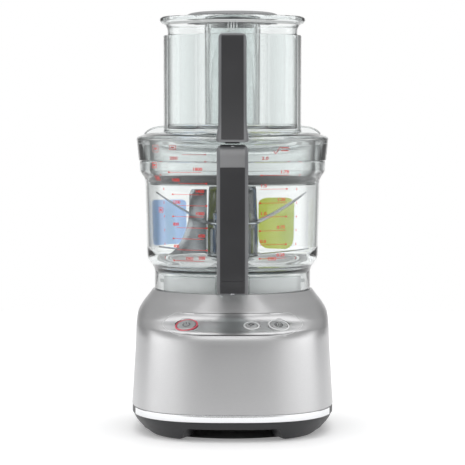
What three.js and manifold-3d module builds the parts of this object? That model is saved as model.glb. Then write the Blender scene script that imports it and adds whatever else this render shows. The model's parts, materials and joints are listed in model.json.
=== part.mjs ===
// A food processor: a steel-clad motor base with three push buttons, a clear bowl with a
// grip at the front, a blade set on a spindle, a clear lid with a wide feed chute, and a
// large pusher with a small pusher inside it.
// Millimetres, +Z up, the front towards -Y. The origin is the middle of the footprint.

import * as THREE from "three";
import { mergeVertices } from "three/addons/utils/BufferGeometryUtils.js";
import Module from "manifold-3d";

const wasm = await Module();
wasm.setup();

// ---------------------------------------------------------------- driving sizes
// Distances to the front, back and side are measured from the drive axis.

// Fits
const touch = 0.3; // between pieces that rest on each other
const slideGap = 1.2; // round a piece that slides or turns inside another

// Base
const baseHalfWidth = 96;
const baseFront = 113;
const baseBack = 100;
const cornerPower = 2.7; // 2 is an ellipse, larger is squarer
const housingBottom = 25;
const faceTop = 92; // where the front face starts to turn into the shoulder
const deckHeight = 132;
const housingWall = 2.5;
const footRim = 1.9; // the deck reaches this far past the bowl's foot
const seatInset = 6; // from the inside of the bowl's foot to the seat
const seatHeight = 15; // above the deck
const seatFlange = 6; // past the seat's wall, under the deck
const archHalfWidth = 41;
const archHeight = 12;
const footRadius = 10;
const footPad = 2; // how far the rubber stands below the cover
const floorThickness = 1.5; // of the bottom cover over its arches

// Buttons: distance to the right of the middle, and radius of the light ring
const buttonHeight = 105;
const powerButtonX = -42.3;
const powerRingRadius = 10.7;
const pulseButtonX = 17.5;
const pulseRingRadius = 7.5;
const startButtonX = 42.5;
const startRingRadius = 10;
const ringWidth = 1.6;
const buttonTravel = 1.2;
const panelHalfLength = 64.5;
const panelHalfHeight = 17;

// Motor
const statorRadius = 50;
const statorHeight = 48;
const shaftRadius = 5;

// Bowl
const bowlRadius = 82; // at the foot of the straight wall
const bowlDraft = 1.6; // how much wider the straight wall is at its top
const bowlFootStep = 7.4; // how much narrower the foot is than the wall
const bowlFootGap = 0.5; // between the foot and the deck
const bowlWall = 2.6;
const bowlDepth = 118; // from the floor to the rim
const floorHeight = 18; // from the foot to the underside of the floor
const bowlFloor = 2.6;
const rimStep = 7; // how much wider than the wall the ledge under the lid is
const neckStep = 2.7; // from the ledge's edge in to the neck
const neckHeight = 16.5;
const neckWall = 2.3;
const flareHeight = 20; // from the straight wall's top to the ledge
const tubeRadius = 13.5;
const tubeHeight = 34;
const tubeWall = 2.5;

// Grip on the bowl
const fingerRoom = 22; // between the ledge and the grip
const gripThickness = 19;
const gripWidth = 28.4;
const gripEnds = 11; // how far the face leans back at the top and the bottom
const gripFaceWidth = 21;
const gripFaceDepth = 2.6;
const rodRadius = 1.8;
const rodInset = 3.6; // from the grip's inner face to the rod

// Blades
const hubRadius = 24.5;
const bladeTipGap = 5.4; // to the bowl's wall
const bladeThickness = 1.6;

// Lid
const lidOverhang = 3; // past the bowl's ledge
const skirtHeight = 21;
const lidWall = 2.6;
const lidRise = 5.8; // from the rim of the lid to its top face
const plugGap = 1.4; // between the bowl and the wall that goes down inside it
const plugDepth = 47;
const sealHeight = 10.5;

// Chute and pushers
const chuteHalfWidth = 65.8;
const chuteHalfDepth = 45;
const chutePower = 2.6;
const chuteCentre = 2; // in front of the drive axis
const lobeRadius = 45;
const lobeCentre = 13; // in front of the chute's centre
const chuteHeight = 91.7;
const chuteWall = 2.6;
const pusherWall = 2.4;
const flangeReach = 3.6; // past the outside of the chute
const flangeHeight = 18; // above the chute's top edge
const smallPusherRadius = 23.6;
const smallPusherWall = 2.2;
const smallPusherFloor = 2.5;
const capHalfWidth = 43.7;
const capHalfDepth = 31;
const capHeight = 5;

// Grip on the lid
const lidGripWidth = 26;
const lidGripTopDepth = 14; // in front of the chute

// Steps round a full turn
const largeSteps = 40;
const hubSteps = 24;
const smallSteps = 16;
const pinSteps = 12;

// ---------------------------------------------------------------- worked out from them
const bowlTopRadius = bowlRadius + bowlDraft;
const bowlFootRadius = bowlRadius - bowlFootStep;
const rimRadius = bowlRadius + rimStep;
const neckRadius = rimRadius - neckStep;
const neckInside = neckRadius - neckWall;
const seatRadius = bowlFootRadius - bowlWall - seatInset;
const bladeTip = bowlRadius - bowlWall - bladeTipGap;
const lidRimRadius = rimRadius + lidOverhang;
const plugRadius = bowlTopRadius - bowlWall - plugGap;
const gripReach = rimRadius + fingerRoom + gripThickness;
const bowlFootHeight = deckHeight + bowlFootGap;
const floorUnderside = bowlFootHeight + floorHeight;
const floorTop = floorUnderside + bowlFloor;
const rimHeight = floorTop + bowlDepth;
const ledgeHeight = rimHeight - neckHeight;
const flareBottom = ledgeHeight - flareHeight;
const skirtBottom = ledgeHeight + 2 * touch;
const lidEdge = skirtBottom + skirtHeight;
const lidTop = lidEdge + lidRise;
const chuteBottom = lidTop + touch;
const chuteTop = chuteBottom + chuteHeight;
const flangeTop = chuteTop + flangeHeight;
const plugBottom = lidTop - lidWall - plugDepth;
const seatTop = deckHeight + seatHeight;
const coverFloor = archHeight + floorThickness;
const reachFront = Math.max(gripReach, baseFront);

// ---------------------------------------------------------------- making solids

// A closed three.js geometry as a solid, facing out whichever way it was drawn.
function solid(geometry) {
  const bare = geometry.clone();
  bare.deleteAttribute("normal");
  bare.deleteAttribute("uv");
  const merged = mergeVertices(bare, 1e-4);
  const index = [];
  const source = merged.index.array;
  for (let i = 0; i < source.length; i += 3) {
    const [a, b, c] = [source[i], source[i + 1], source[i + 2]];
    if (a !== b && b !== c && c !== a) index.push(a, b, c);
  }
  const build = (triVerts) =>
    new wasm.Manifold(
      new wasm.Mesh({
        numProp: 3,
        vertProperties: new Float32Array(merged.attributes.position.array),
        triVerts: new Uint32Array(triVerts),
      }),
    );
  const made = build(index);
  return made.volume() > 0 ? made : build(index.reverse());
}

// Turns a profile of [radius, height] points about the vertical axis.
// The profile closes on itself, or starts and ends on the axis.
function revolve(profile, steps = largeSteps) {
  const points = profile.map(([r, z]) => new THREE.Vector2(r, z));
  const open = points[0].x > 0 || points.at(-1).x > 0;
  if (open) points.push(points[0].clone());
  return solid(new THREE.LatheGeometry(points, steps).rotateX(Math.PI / 2));
}

function disc(radius, bottom, top, steps = smallSteps) {
  const geometry = new THREE.CylinderGeometry(radius, radius, top - bottom, steps);
  return solid(geometry.rotateX(Math.PI / 2).translate(0, 0, (top + bottom) / 2));
}

function ring(inner, outer, bottom, top, steps = smallSteps) {
  const profile = [
    [inner, bottom],
    [outer, bottom],
    [outer, top],
    [inner, top],
  ];
  return revolve(profile, steps);
}

function block(x0, x1, y0, y1, z0, z1) {
  const geometry = new THREE.BoxGeometry(x1 - x0, y1 - y0, z1 - z0);
  return solid(geometry.translate((x0 + x1) / 2, (y0 + y1) / 2, (z0 + z1) / 2));
}

// A solid with a closed curve about the vertical axis as its section at each height.
function loft(heights, radiusAt, steps = largeSteps) {
  const profile = heights.map((z) => new THREE.Vector2(1, z));
  profile.unshift(new THREE.Vector2(0, heights[0]));
  profile.push(new THREE.Vector2(0, heights.at(-1)));
  const geometry = new THREE.LatheGeometry(profile, steps).rotateX(Math.PI / 2);
  const position = geometry.getAttribute("position");
  for (let i = 0; i < position.count; i += 1) {
    const onAxis = Math.hypot(position.getX(i), position.getY(i)) < 0.5;
    const angle = Math.atan2(position.getY(i), position.getX(i));
    const radius = onAxis ? 0 : radiusAt(angle, position.getZ(i));
    position.setXY(i, radius * Math.cos(angle), radius * Math.sin(angle));
  }
  return solid(geometry);
}

// A flat outline of [forward, up] points, made into a plate of this width about x = 0.
function sidePlate(outline, width) {
  const shape = new THREE.Shape(outline.map(([forward, up]) => new THREE.Vector2(forward, up)));
  const geometry = new THREE.ExtrudeGeometry(shape, { depth: width, bevelEnabled: false });
  geometry.translate(0, 0, -width / 2);
  geometry.rotateX(Math.PI / 2).rotateZ(-Math.PI / 2);
  return solid(geometry);
}

// A slice of the space round the axis, from one angle to another, counted from the front
// towards the right.
function wedge(from, to, bottom, top, reach = 200) {
  const shape = new THREE.Shape();
  shape.moveTo(0, 0);
  const steps = 6;
  for (let i = 0; i <= steps; i += 1) {
    const angle = THREE.MathUtils.degToRad(from + ((to - from) * i) / steps);
    shape.lineTo(reach * Math.sin(angle), -reach * Math.cos(angle));
  }
  const geometry = new THREE.ExtrudeGeometry(shape, {
    depth: top - bottom,
    bevelEnabled: false,
  });
  return solid(geometry.translate(0, 0, bottom));
}

function finish(color, roughness, metalness = 0, opacity = 1) {
  return new THREE.MeshStandardMaterial({
    color,
    roughness,
    metalness,
    opacity,
    transparent: opacity < 1,
  });
}

const brushedSteel = finish(0xb9babb, 0.38, 1);
const chrome = finish(0xe6e8ea, 0.08, 1);
const machinedSteel = finish(0x9a9da1, 0.3, 1);
const bladeSteel = finish(0x8e9296, 0.25, 1);
const darkPlastic = finish(0x2f3032, 0.55);
const gripDark = finish(0x434446, 0.45);
const gripEdge = finish(0x7c7e82, 0.4);
const clearPlastic = finish(0xdfe9e8, 0.08, 0, 0.35);
const smokePlastic = finish(0x6f7678, 0.2, 0, 0.7);
const rubber = finish(0x1f2021, 0.85);
const sealRubber = finish(0x55585a, 0.7);
const boardGreen = finish(0x2f5a3c, 0.6);
const lightRing = finish(0xf4f5f5, 0.3);
const redRing = finish(0xd8606c, 0.3);
const copper = finish(0xa8643a, 0.45, 1);
const blueFilm = finish(0x7ba6d6, 0.4);
const limeFilm = finish(0xb7c62f, 0.4);

const machine = new THREE.Group();
machine.position.y = (reachFront - baseBack) / 2;

function piece(name, shape, material, parent = machine) {
  const { numProp, vertProperties, triVerts } = shape.getMesh();
  const geometry = new THREE.BufferGeometry();
  const attribute = new THREE.Float32BufferAttribute(vertProperties, numProp);
  geometry.setAttribute("position", attribute);
  geometry.setIndex(new THREE.Uint32BufferAttribute(triVerts, 1));
  geometry.computeVertexNormals();
  const mesh = new THREE.Mesh(geometry, material);
  mesh.name = name;
  parent.add(mesh);
  return mesh;
}

// ---------------------------------------------------------------- the base's outline

// Half width, front, back and corner power of the base at each height. The front has a
// steep face, a gentle shoulder that carries the buttons, and a rise to the round deck.
const deckRadius = bowlFootRadius + footRim;
const shoulderRise = deckHeight - faceTop;
const shoulderStations = [
  { rise: 0, side: 0.8, front: 0.93, back: 0.9, power: 1 },
  { rise: 0.17, side: 0.775, front: 0.86, back: 0.88, power: 0.97 },
  { rise: 0.28, side: 0.755, front: 0.58, back: 0.85, power: 0.9 },
  { rise: 0.41, side: 0.725, front: 0.24, back: 0.8, power: 0.75 },
  { rise: 0.52, side: 0.67, front: 0.13, back: 0.7, power: 0.62 },
  { rise: 0.7, side: 0.47, front: 0.07, back: 0.45, power: 0.4 },
  { rise: 0.87, side: 0.2, front: 0.03, back: 0.19, power: 0.15 },
  { rise: 1, side: 0, front: 0, back: 0, power: 0 },
];
const sectionAt = (z, share) => ({
  z,
  side: deckRadius + (baseHalfWidth - deckRadius) * share.side,
  front: deckRadius + (baseFront - deckRadius) * share.front,
  back: deckRadius + (baseBack - deckRadius) * share.back,
  power: 2 + (cornerPower - 2) * share.power,
});
const baseStations = [
  sectionAt(housingBottom, { side: 1, front: 1, back: 1, power: 1 }),
  ...shoulderStations.map((share) => sectionAt(faceTop + shoulderRise * share.rise, share)),
];

function baseSection(z) {
  const above = baseStations.findIndex((station) => station.z >= z);
  if (above === 0) return baseStations[0];
  if (above < 0) return baseStations.at(-1);
  const low = baseStations[above - 1];
  const high = baseStations[above];
  const t = (z - low.z) / (high.z - low.z);
  const mix = (key) => THREE.MathUtils.lerp(low[key], high[key], t);
  return { side: mix("side"), front: mix("front"), back: mix("back"), power: mix("power") };
}

function ovalRadius(angle, halfWidth, halfDepth, power) {
  const across = Math.abs(Math.cos(angle) / halfWidth) ** power;
  const along = Math.abs(Math.sin(angle) / halfDepth) ** power;
  return (across + along) ** (-1 / power);
}

function baseRadius(angle, z, inset = 0) {
  const { side, front, back, power } = baseSection(z);
  const depth = Math.sin(angle) < 0 ? front : back;
  return ovalRadius(angle, side - inset, depth - inset, power);
}

// ---------------------------------------------------------------- base housing and panel

// The steel shell over the whole base, before the panel, the deck and the rear are cut.
function housingShell() {
  const heights = baseStations.map((station) => station.z);
  const outside = loft(heights, (angle, z) => baseRadius(angle, z));
  const lowered = [housingBottom - 1, ...heights.slice(1).map((z) => z - housingWall)];
  const inside = loft(lowered, (angle, z) => baseRadius(angle, z + housingWall, housingWall));
  return outside.subtract(inside);
}

// The rounded bar shape of the control panel, standing on the shoulder's slope.
function panelBar(grow) {
  const radius = panelHalfHeight + grow;
  const straight = panelHalfLength - panelHalfHeight;
  const shape = new THREE.Shape();
  shape.absarc(straight, 0, radius, -Math.PI / 2, Math.PI / 2);
  shape.absarc(-straight, 0, radius, Math.PI / 2, (3 * Math.PI) / 2);
  const below = 9;
  const above = 12;
  const geometry = new THREE.ExtrudeGeometry(shape, {
    depth: below + above,
    bevelEnabled: false,
    curveSegments: 8,
  });
  geometry.translate(0, 0, -below);
  const facing = shoulderFrame(0);
  return solid(geometry.applyMatrix4(facing));
}

// Where the shoulder is at a distance to the right of the middle, as a matrix whose local
// z points out of the surface and whose local y points up the slope.
function shoulderFrame(x) {
  const forwardAt = (across, z) => {
    const { side, front, power } = baseSection(z);
    return -front * (1 - Math.abs(across / side) ** power) ** (1 / power);
  };
  const step = 3;
  const at = (across, z) => new THREE.Vector3(across, forwardAt(across, z), z);
  const upSlope = at(x, buttonHeight + step).sub(at(x, buttonHeight - step)).normalize();
  const across = at(x + step, buttonHeight).sub(at(x - step, buttonHeight)).normalize();
  const out = new THREE.Vector3().crossVectors(across, upSlope).normalize();
  const right = new THREE.Vector3().crossVectors(upSlope, out);
  return new THREE.Matrix4().makeBasis(right, upSlope, out).setPosition(at(x, buttonHeight));
}

function buildHousing() {
  const shell = housingShell();
  const deckOpening = disc(seatRadius + touch, deckHeight - 20, deckHeight + 1, largeSteps);
  const glandHole = gland(glandRadius + touch, 0, 20);
  const housing = shell.subtract(deckOpening).subtract(panelBar(touch)).subtract(glandHole);
  piece("base_housing", housing, brushedSteel);
  let panel = shell.intersect(panelBar(0));
  for (const button of buttons) {
    const hole = disc(button.radius + touch, -20, 20);
    panel = panel.subtract(placed(hole, shoulderFrame(button.x)));
  }
  piece("control_panel", panel, brushedSteel);
}

function placed(shape, matrix) {
  return shape.transform(matrix.toArray());
}

// ---------------------------------------------------------------- buttons

const buttons = [
  { name: "power", x: powerButtonX, radius: powerRingRadius, light: redRing },
  { name: "pulse", x: pulseButtonX, radius: pulseRingRadius, light: lightRing },
  { name: "start", x: startButtonX, radius: startRingRadius, light: lightRing },
];
const ringTop = 0.5;
const buttonTop = 0.9;
const buttonDepth = 5;

function buildButtons() {
  for (const button of buttons) {
    const frame = shoulderFrame(button.x);
    const capRadius = button.radius - ringWidth - touch;
    const collar = ring(button.radius - ringWidth, button.radius, -housingWall, ringTop);
    const cap = revolve(
      [
        [0, -buttonDepth],
        [capRadius, -buttonDepth],
        [capRadius, buttonTop - 0.5],
        [capRadius - 0.5, buttonTop],
        [0, buttonTop],
      ],
      smallSteps,
    );
    piece(`${button.name}_light_ring`, placed(collar, frame), button.light);
    piece(`${button.name}_button`, placed(cap, frame), brushedSteel);
  }
  const frame = shoulderFrame(0);
  const boardTop = -buttonDepth - buttonTravel - 9;
  let board = block(-50, 50, -9, 9, boardTop - 1.6, boardTop);
  for (const button of buttons) {
    const spot = new THREE.Vector3().setFromMatrixPosition(shoulderFrame(button.x));
    spot.applyMatrix4(frame.clone().invert());
    const top = spot.z - buttonDepth - buttonTravel - 1.2;
    board = board.add(block(spot.x - 3, spot.x + 3, -4, 4, boardTop - 0.5, top));
  }
  piece("button_board", placed(board, frame), boardGreen);
}

// ---------------------------------------------------------------- bottom of the base

const glandRadius = 8;
const glandHeight = 44;

function gland(radius, from, to) {
  const bar = disc(radius, from, to);
  const matrix = new THREE.Matrix4().makeRotationX(-Math.PI / 2);
  matrix.setPosition(0, baseBack - 12, glandHeight);
  return placed(bar, matrix);
}

const trimBottom = 18;
const trimHalfAngle = 59;
const postRadius = 4.6;
const postRing = seatRadius + 2; // the posts hang from the seat's flange
const postAngle = THREE.MathUtils.degToRad(42.6);
const postX = postRing * Math.cos(postAngle);
const postY = postRing * Math.sin(postAngle);
const screwHead = 4;
const screwShank = 1.8;
const footX = 56;
const footY = 66;

function trimBand(outset, depth, bottom, top, halfAngle) {
  const outer = loft([bottom, top], (angle) => baseRadius(angle, housingBottom, -outset));
  const inner = loft([bottom - 1, top + 1], (angle) => baseRadius(angle, housingBottom, depth));
  return outer.subtract(inner).intersect(wedge(-halfAngle, halfAngle, bottom - 2, top + 2));
}

function corners(x, y) {
  return [
    { name: "front_left", x: -x, y: -y },
    { name: "front_right", x, y: -y },
    { name: "rear_left", x: -x, y },
    { name: "rear_right", x, y },
  ];
}

function buildBottom() {
  const top = housingBottom - touch;
  // The skirt curves in under the base to the level of the rubber feet.
  const curl = [
    [footPad, 24],
    [4.6, 15.5],
    [10, 7],
    [trimBottom - 1, 1.2],
    [top, 0.3],
  ];
  const insetAt = (z) => {
    const above = Math.max(1, curl.findIndex(([height]) => height >= z - 1e-3));
    const [z0, inset0] = curl[above - 1];
    const [z1, inset1] = curl[above];
    return THREE.MathUtils.mapLinear(z, z0, z1, inset0, inset1);
  };
  const outside = loft(
    curl.map(([height]) => height),
    (angle, z) => baseRadius(angle, housingBottom, insetAt(z)),
  );
  const inside = loft([coverFloor + 2.5, top + 1], (angle) =>
    baseRadius(angle, housingBottom, 11),
  );
  let cover = outside.subtract(inside);
  const tunnel = (across) => {
    const shape = new THREE.Shape();
    shape.moveTo(-across - 8, -1);
    shape.lineTo(across + 8, -1);
    shape.lineTo(across, archHeight - 2);
    shape.lineTo(across - 3, archHeight);
    shape.lineTo(-across + 3, archHeight);
    shape.lineTo(-across, archHeight - 2);
    const geometry = new THREE.ExtrudeGeometry(shape, { depth: 300, bevelEnabled: false });
    return geometry.translate(0, 0, -150).rotateX(Math.PI / 2);
  };
  cover = cover.subtract(solid(tunnel(archHalfWidth)));
  cover = cover.subtract(solid(tunnel(archHalfWidth + 4).rotateZ(Math.PI / 2)));
  cover = cover.subtract(
    trimBand(3, trimDepth + touch, trimBottom - touch, top + 1, trimHalfAngle + 0.3),
  );
  for (const { x, y } of corners(footX, footY))
    cover = cover.subtract(disc(footRadius + touch, -1, 4.3).translate(x, y, 0));
  for (const { x, y } of corners(postX, postY)) {
    const bore = ring(0, screwHead + touch, -1, screwSeat);
    const through = disc(screwShank + touch, -1, coverFloor + 4);
    cover = cover.subtract(bore.translate(x, y, 0)).subtract(through.translate(x, y, 0));
  }
  for (const side of [-1, 1]) {
    const x = side * boardHalfLength;
    const floor = coverFloor + 2;
    const jaw = block(x - 3, x + 3, boardBack - 4, boardBack + 5.6, floor, floor + 9);
    const slot = block(
      x - 10,
      x + 10,
      boardBack - touch,
      boardBack + boardThickness + touch,
      floor + 0.8,
      floor + 20,
    );
    cover = cover.add(jaw.subtract(slot));
  }
  piece("bottom_cover", cover, darkPlastic);

  const band = trimBand(0.4, trimDepth, trimBottom, top, trimHalfAngle);
  piece("chrome_trim", band, chrome);
  for (const { name, x, y } of corners(footX, footY))
    piece(`foot_${name}`, disc(footRadius, 0, 4).translate(x, y, 0), rubber);
  for (const { name, x, y } of corners(postX, postY)) {
    const screw = disc(screwHead, screwSeat - 3, screwSeat - touch);
    const shank = disc(screwShank, screwSeat - 1, coverFloor + 12);
    piece(`screw_${name}`, screw.add(shank).translate(x, y, 0), machinedSteel);
  }
}

const trimDepth = 2;
const screwSeat = 11;
const boardHalfLength = 42;
const boardThickness = 1.6;
const boardBack = 74;

function buildBoard() {
  const bottom = coverFloor + 3.1;
  const front = boardBack;
  let board = block(-46, 46, front, front + boardThickness, bottom, bottom + 52);
  board = board.add(block(-30, -12, front - 10, front + 1, bottom + 12, bottom + 30));
  board = board.add(block(4, 18, front - 12, front + 1, bottom + 20, bottom + 46));
  board = board.add(block(24, 38, front - 6, front + 1, bottom + 26, bottom + 40));
  piece("control_board", board, boardGreen);

  const collar = gland(glandRadius, 2, 14).add(gland(glandRadius + 3, 0, 3));
  piece("cord_gland", collar.subtract(gland(4.2, -1, 20)), rubber);
}

// ---------------------------------------------------------------- motor and bowl seat

const motorTop = deckHeight - 22;
const statorTop = motorTop - 12;
const statorDepth = 20; // from its outside to its bore
const rotorGap = 1.5;
const statorBottom = statorTop - statorHeight;
const bearingRadius = 11;
const mountRadius = 7;
const mountHeight = 6;
const switchForward = 73; // in front of the drive axis
const mountRing = 48; // the circle that the rubber mounts stand on
const mountX = mountRing / Math.SQRT2;

function buildSeat() {
  const lip = deckHeight - housingWall - 1.5;
  const profile = [
    [shaftRadius + slideGap, seatTop - 3],
    [seatRadius - 4, seatTop - 3],
    [seatRadius - 3, seatTop - 6],
    [seatRadius - 3, lip - 6],
    [shaftRadius + 18, lip - 6],
    [shaftRadius + 18, lip - 9],
    [seatRadius + seatFlange, lip - 9],
    [seatRadius + seatFlange, lip - 6],
    [seatRadius, lip - 6],
    [seatRadius, seatTop - 2],
    [seatRadius - 2, seatTop],
    [shaftRadius + slideGap, seatTop],
  ];
  let seat = revolve(profile);
  for (const turn of [0, 90, 180, 270]) {
    const lug = ring(seatRadius - 1, seatRadius + 3.4, deckHeight + 9, deckHeight + 12, largeSteps);
    seat = seat.add(lug.intersect(wedge(turn - 9, turn + 9, deckHeight, seatTop)));
  }
  for (const { x, y } of corners(postX, postY)) {
    const post = ring(screwShank + touch, postRadius, coverFloor + 2.5 + touch, lip - 7);
    seat = seat.add(post.translate(x, y, 0));
  }
  for (const { x, y } of corners(mountX, mountX)) {
    const stub = disc(mountRadius - 2, motorTop + mountHeight + touch, lip - 7);
    seat = seat.add(stub.translate(x, y, 0));
  }
  piece("bowl_seat", seat, smokePlastic);

  const seal = ring(shaftRadius + touch, shaftRadius + 9, seatTop + touch, seatTop + 1.8);
  piece("shaft_seal", seal, rubber);
}

function buildMotor() {
  const shaftTop = floorTop + tubeHeight + 12;
  const fanTop = statorBottom - 14;
  const shaft = disc(shaftRadius, fanTop - 8, shaftTop);
  piece("motor_shaft", shaft, machinedSteel);

  const plate = ring(bearingRadius + touch, statorRadius + 3, motorTop - 3, motorTop);
  const pocket = ring(bearingRadius + touch, bearingRadius + 4, motorTop - 9, motorTop - 2);
  piece("motor_bracket", plate.add(pocket), machinedSteel);
  for (const { name, x, y } of corners(mountX, mountX)) {
    const mount = disc(mountRadius, motorTop + touch, motorTop + mountHeight, pinSteps);
    piece(`motor_mount_${name}`, mount.translate(x, y, 0), rubber);
  }

  const upper = ring(shaftRadius + touch, bearingRadius, motorTop - 8.5, motorTop - 0.5);
  piece("upper_bearing", upper, machinedSteel);

  const can = ring(statorRadius - statorDepth, statorRadius, statorBottom, statorTop);
  const shoulder = ring(statorRadius - 8, 2 * statorRadius, statorTop - 6, deckHeight);
  piece("motor_stator", can.subtract(shoulder), copper);
  const rotorRadius = statorRadius - statorDepth - rotorGap;
  const core = ring(shaftRadius + touch, rotorRadius, statorBottom + 3, statorTop - 3);
  piece("motor_rotor", core, machinedSteel);

  const bell = ring(bearingRadius + touch, statorRadius, statorBottom - 4, statorBottom - touch);
  const hub = ring(bearingRadius + touch, bearingRadius + 4, statorBottom - 9, statorBottom - 3);
  piece("lower_end_bell", bell.add(hub), machinedSteel);
  const lower = ring(shaftRadius + touch, bearingRadius, statorBottom - 8.5, statorBottom - 1);
  piece("lower_bearing", lower, machinedSteel);

  const fanRadius = statorRadius - 10;
  const fanHub = 12;
  const vaneCount = 6;
  let fan = ring(shaftRadius + touch, fanHub, fanTop - 6, fanTop);
  fan = fan.add(ring(fanHub - 1, fanRadius, fanTop - 6, fanTop - 4.6));
  for (let i = 0; i < vaneCount; i += 1) {
    const vane = block(fanHub - 1, fanRadius - 2, -0.8, 0.8, fanTop - 5, fanTop);
    fan = fan.add(vane.rotate([0, 0, (360 * i) / vaneCount]));
  }
  piece("cooling_fan", fan, darkPlastic);

  const top = deckHeight - 26;
  const body = block(-5, 5, -switchForward - 3, -switchForward + 3, top, top + 8);
  const plunger = block(-4, 4, -switchForward - 1.5, -switchForward + 1, top + 7, top + 11);
  piece("interlock_switch", body.add(plunger), darkPlastic);
}

// ---------------------------------------------------------------- bowl

// The outside of the bowl from its foot to its ledge.
function bowlOutside() {
  const curve = new THREE.CubicBezierCurve(
    new THREE.Vector2(bowlFootRadius, floorUnderside - 2),
    new THREE.Vector2(bowlFootRadius, floorUnderside + 6),
    new THREE.Vector2(bowlRadius, floorUnderside + 6),
    new THREE.Vector2(bowlRadius, floorUnderside + 17),
  );
  const flare = new THREE.CubicBezierCurve(
    new THREE.Vector2(bowlTopRadius, flareBottom),
    new THREE.Vector2(bowlTopRadius + 1, flareBottom + 8),
    new THREE.Vector2(rimRadius, flareBottom + 6),
    new THREE.Vector2(rimRadius, flareBottom + 15),
  );
  return [
    [bowlFootRadius, bowlFootHeight],
    ...curve.getPoints(6).map((p) => [p.x, p.y]),
    ...flare.getPoints(5).map((p) => [p.x, p.y]),
    [rimRadius, ledgeHeight],
  ];
}

function wallRadius(z) {
  return THREE.MathUtils.mapLinear(z, floorUnderside + 17, flareBottom, bowlRadius, bowlTopRadius);
}

const bracketHalfWidth = 15.8;
const gripStandoff = 16; // from the bowl's foot to where the clear bracket stops

function buildBowl() {
  const outside = bowlOutside();
  const tubeInside = tubeRadius - tubeWall;
  const tubeTop = floorTop + tubeHeight;
  const inside = [
    [neckRadius, ledgeHeight],
    [neckRadius, rimHeight],
    [neckInside, rimHeight],
    [neckInside, flareBottom + 11],
    [bowlTopRadius - bowlWall, flareBottom],
    [bowlRadius - bowlWall, floorTop + 14],
    [bowlRadius - bowlWall - 2.5, floorTop + 7],
    [bowlRadius - bowlWall - 8, floorTop + 1.5],
    [bowlRadius - bowlWall - 13, floorTop],
    [tubeRadius + 2, floorTop],
    [tubeRadius, floorTop + 2],
    [tubeRadius, tubeTop],
    [tubeInside, tubeTop],
    [tubeInside, floorUnderside],
    [bowlFootRadius - bowlWall - 1.5, floorUnderside],
    [bowlFootRadius - bowlWall, floorUnderside - 1.5],
    [bowlFootRadius - bowlWall, bowlFootHeight],
  ];
  let bowl = revolve([...outside, ...inside]);
  const footInside = bowlFootRadius - bowlWall;
  const lugBottom = bowlFootHeight + 2.5;
  const lugs = ring(footInside - 1.6, footInside + 1, lugBottom, lugBottom + 3, largeSteps);
  for (const turn of [45, 135, 225, 315])
    bowl = bowl.add(lugs.intersect(wedge(turn - 6, turn + 6, deckHeight, seatTop)));
  const lowBracket = block(
    -bracketHalfWidth,
    bracketHalfWidth,
    -bowlFootRadius - gripStandoff,
    -bowlFootRadius + 1,
    bowlFootHeight + 0.5,
    floorUnderside - 1,
  );
  const highBracket = block(
    -bracketHalfWidth + 4,
    bracketHalfWidth - 4,
    -rimRadius - 5,
    -bowlTopRadius + 1,
    flareBottom + 2,
    ledgeHeight - 1,
  );
  const hollow = revolve([
    [0, bowlFootHeight - 1],
    ...outside.slice(1).map(([r, z]) => [r - 1, z]),
    [0, ledgeHeight],
  ]);
  bowl = bowl.add(lowBracket.subtract(disc(bowlFootRadius - 1, deckHeight, rimHeight, largeSteps)));
  bowl = bowl.add(highBracket.subtract(hollow));
  piece("bowl", bowl, clearPlastic);

  // Film patches behind the wall: degrees from the front, heights above the floor.
  const films = [
    { name: "blue_film_patch", from: -145, to: -104, low: 18, high: 65, material: blueFilm },
    { name: "lime_film_patch", from: 132, to: 161, low: 12, high: 67, material: limeFilm },
  ];
  for (const { name, from, to, low, high, material } of films) {
    const bottom = floorTop + low;
    const top = floorTop + high;
    const sheet = revolve([
      [wallRadius(bottom) + touch, bottom],
      [wallRadius(bottom) + touch + 0.6, bottom],
      [wallRadius(top) + touch + 0.6, top],
      [wallRadius(top) + touch, top],
    ]);
    piece(name, sheet.intersect(wedge(from, to, bottom - 1, top + 1)), material);
  }
}

// ---------------------------------------------------------------- grip on the bowl

const gripBottom = bowlFootHeight + 1.5;
const gripTop = rimHeight - 0.4;

// How far forward the front face of the grip is at a height.
function gripFace(z) {
  const lowerBend = gripBottom + 24;
  const upperBend = gripTop - 30;
  const below = Math.max(0, (lowerBend - z) / (lowerBend - gripBottom));
  const above = Math.max(0, (z - upperBend) / (gripTop - upperBend));
  return gripReach - gripEnds * (below ** 2 + above ** 2);
}

// The side outline of a strip that follows a grip's front face.
function faceStrip(faceAt, from, to, outset, depth) {
  const steps = 8;
  const heights = Array.from({ length: steps + 1 }, (_, i) => from + ((to - from) * i) / steps);
  const front = heights.map((z) => [faceAt(z) + outset, z]);
  const back = heights.map((z) => [faceAt(z) - depth, z]).reverse();
  return [...front, ...back];
}

const rodForward = gripReach - gripThickness + rodInset;
const padBottom = gripTop - 20;

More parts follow.
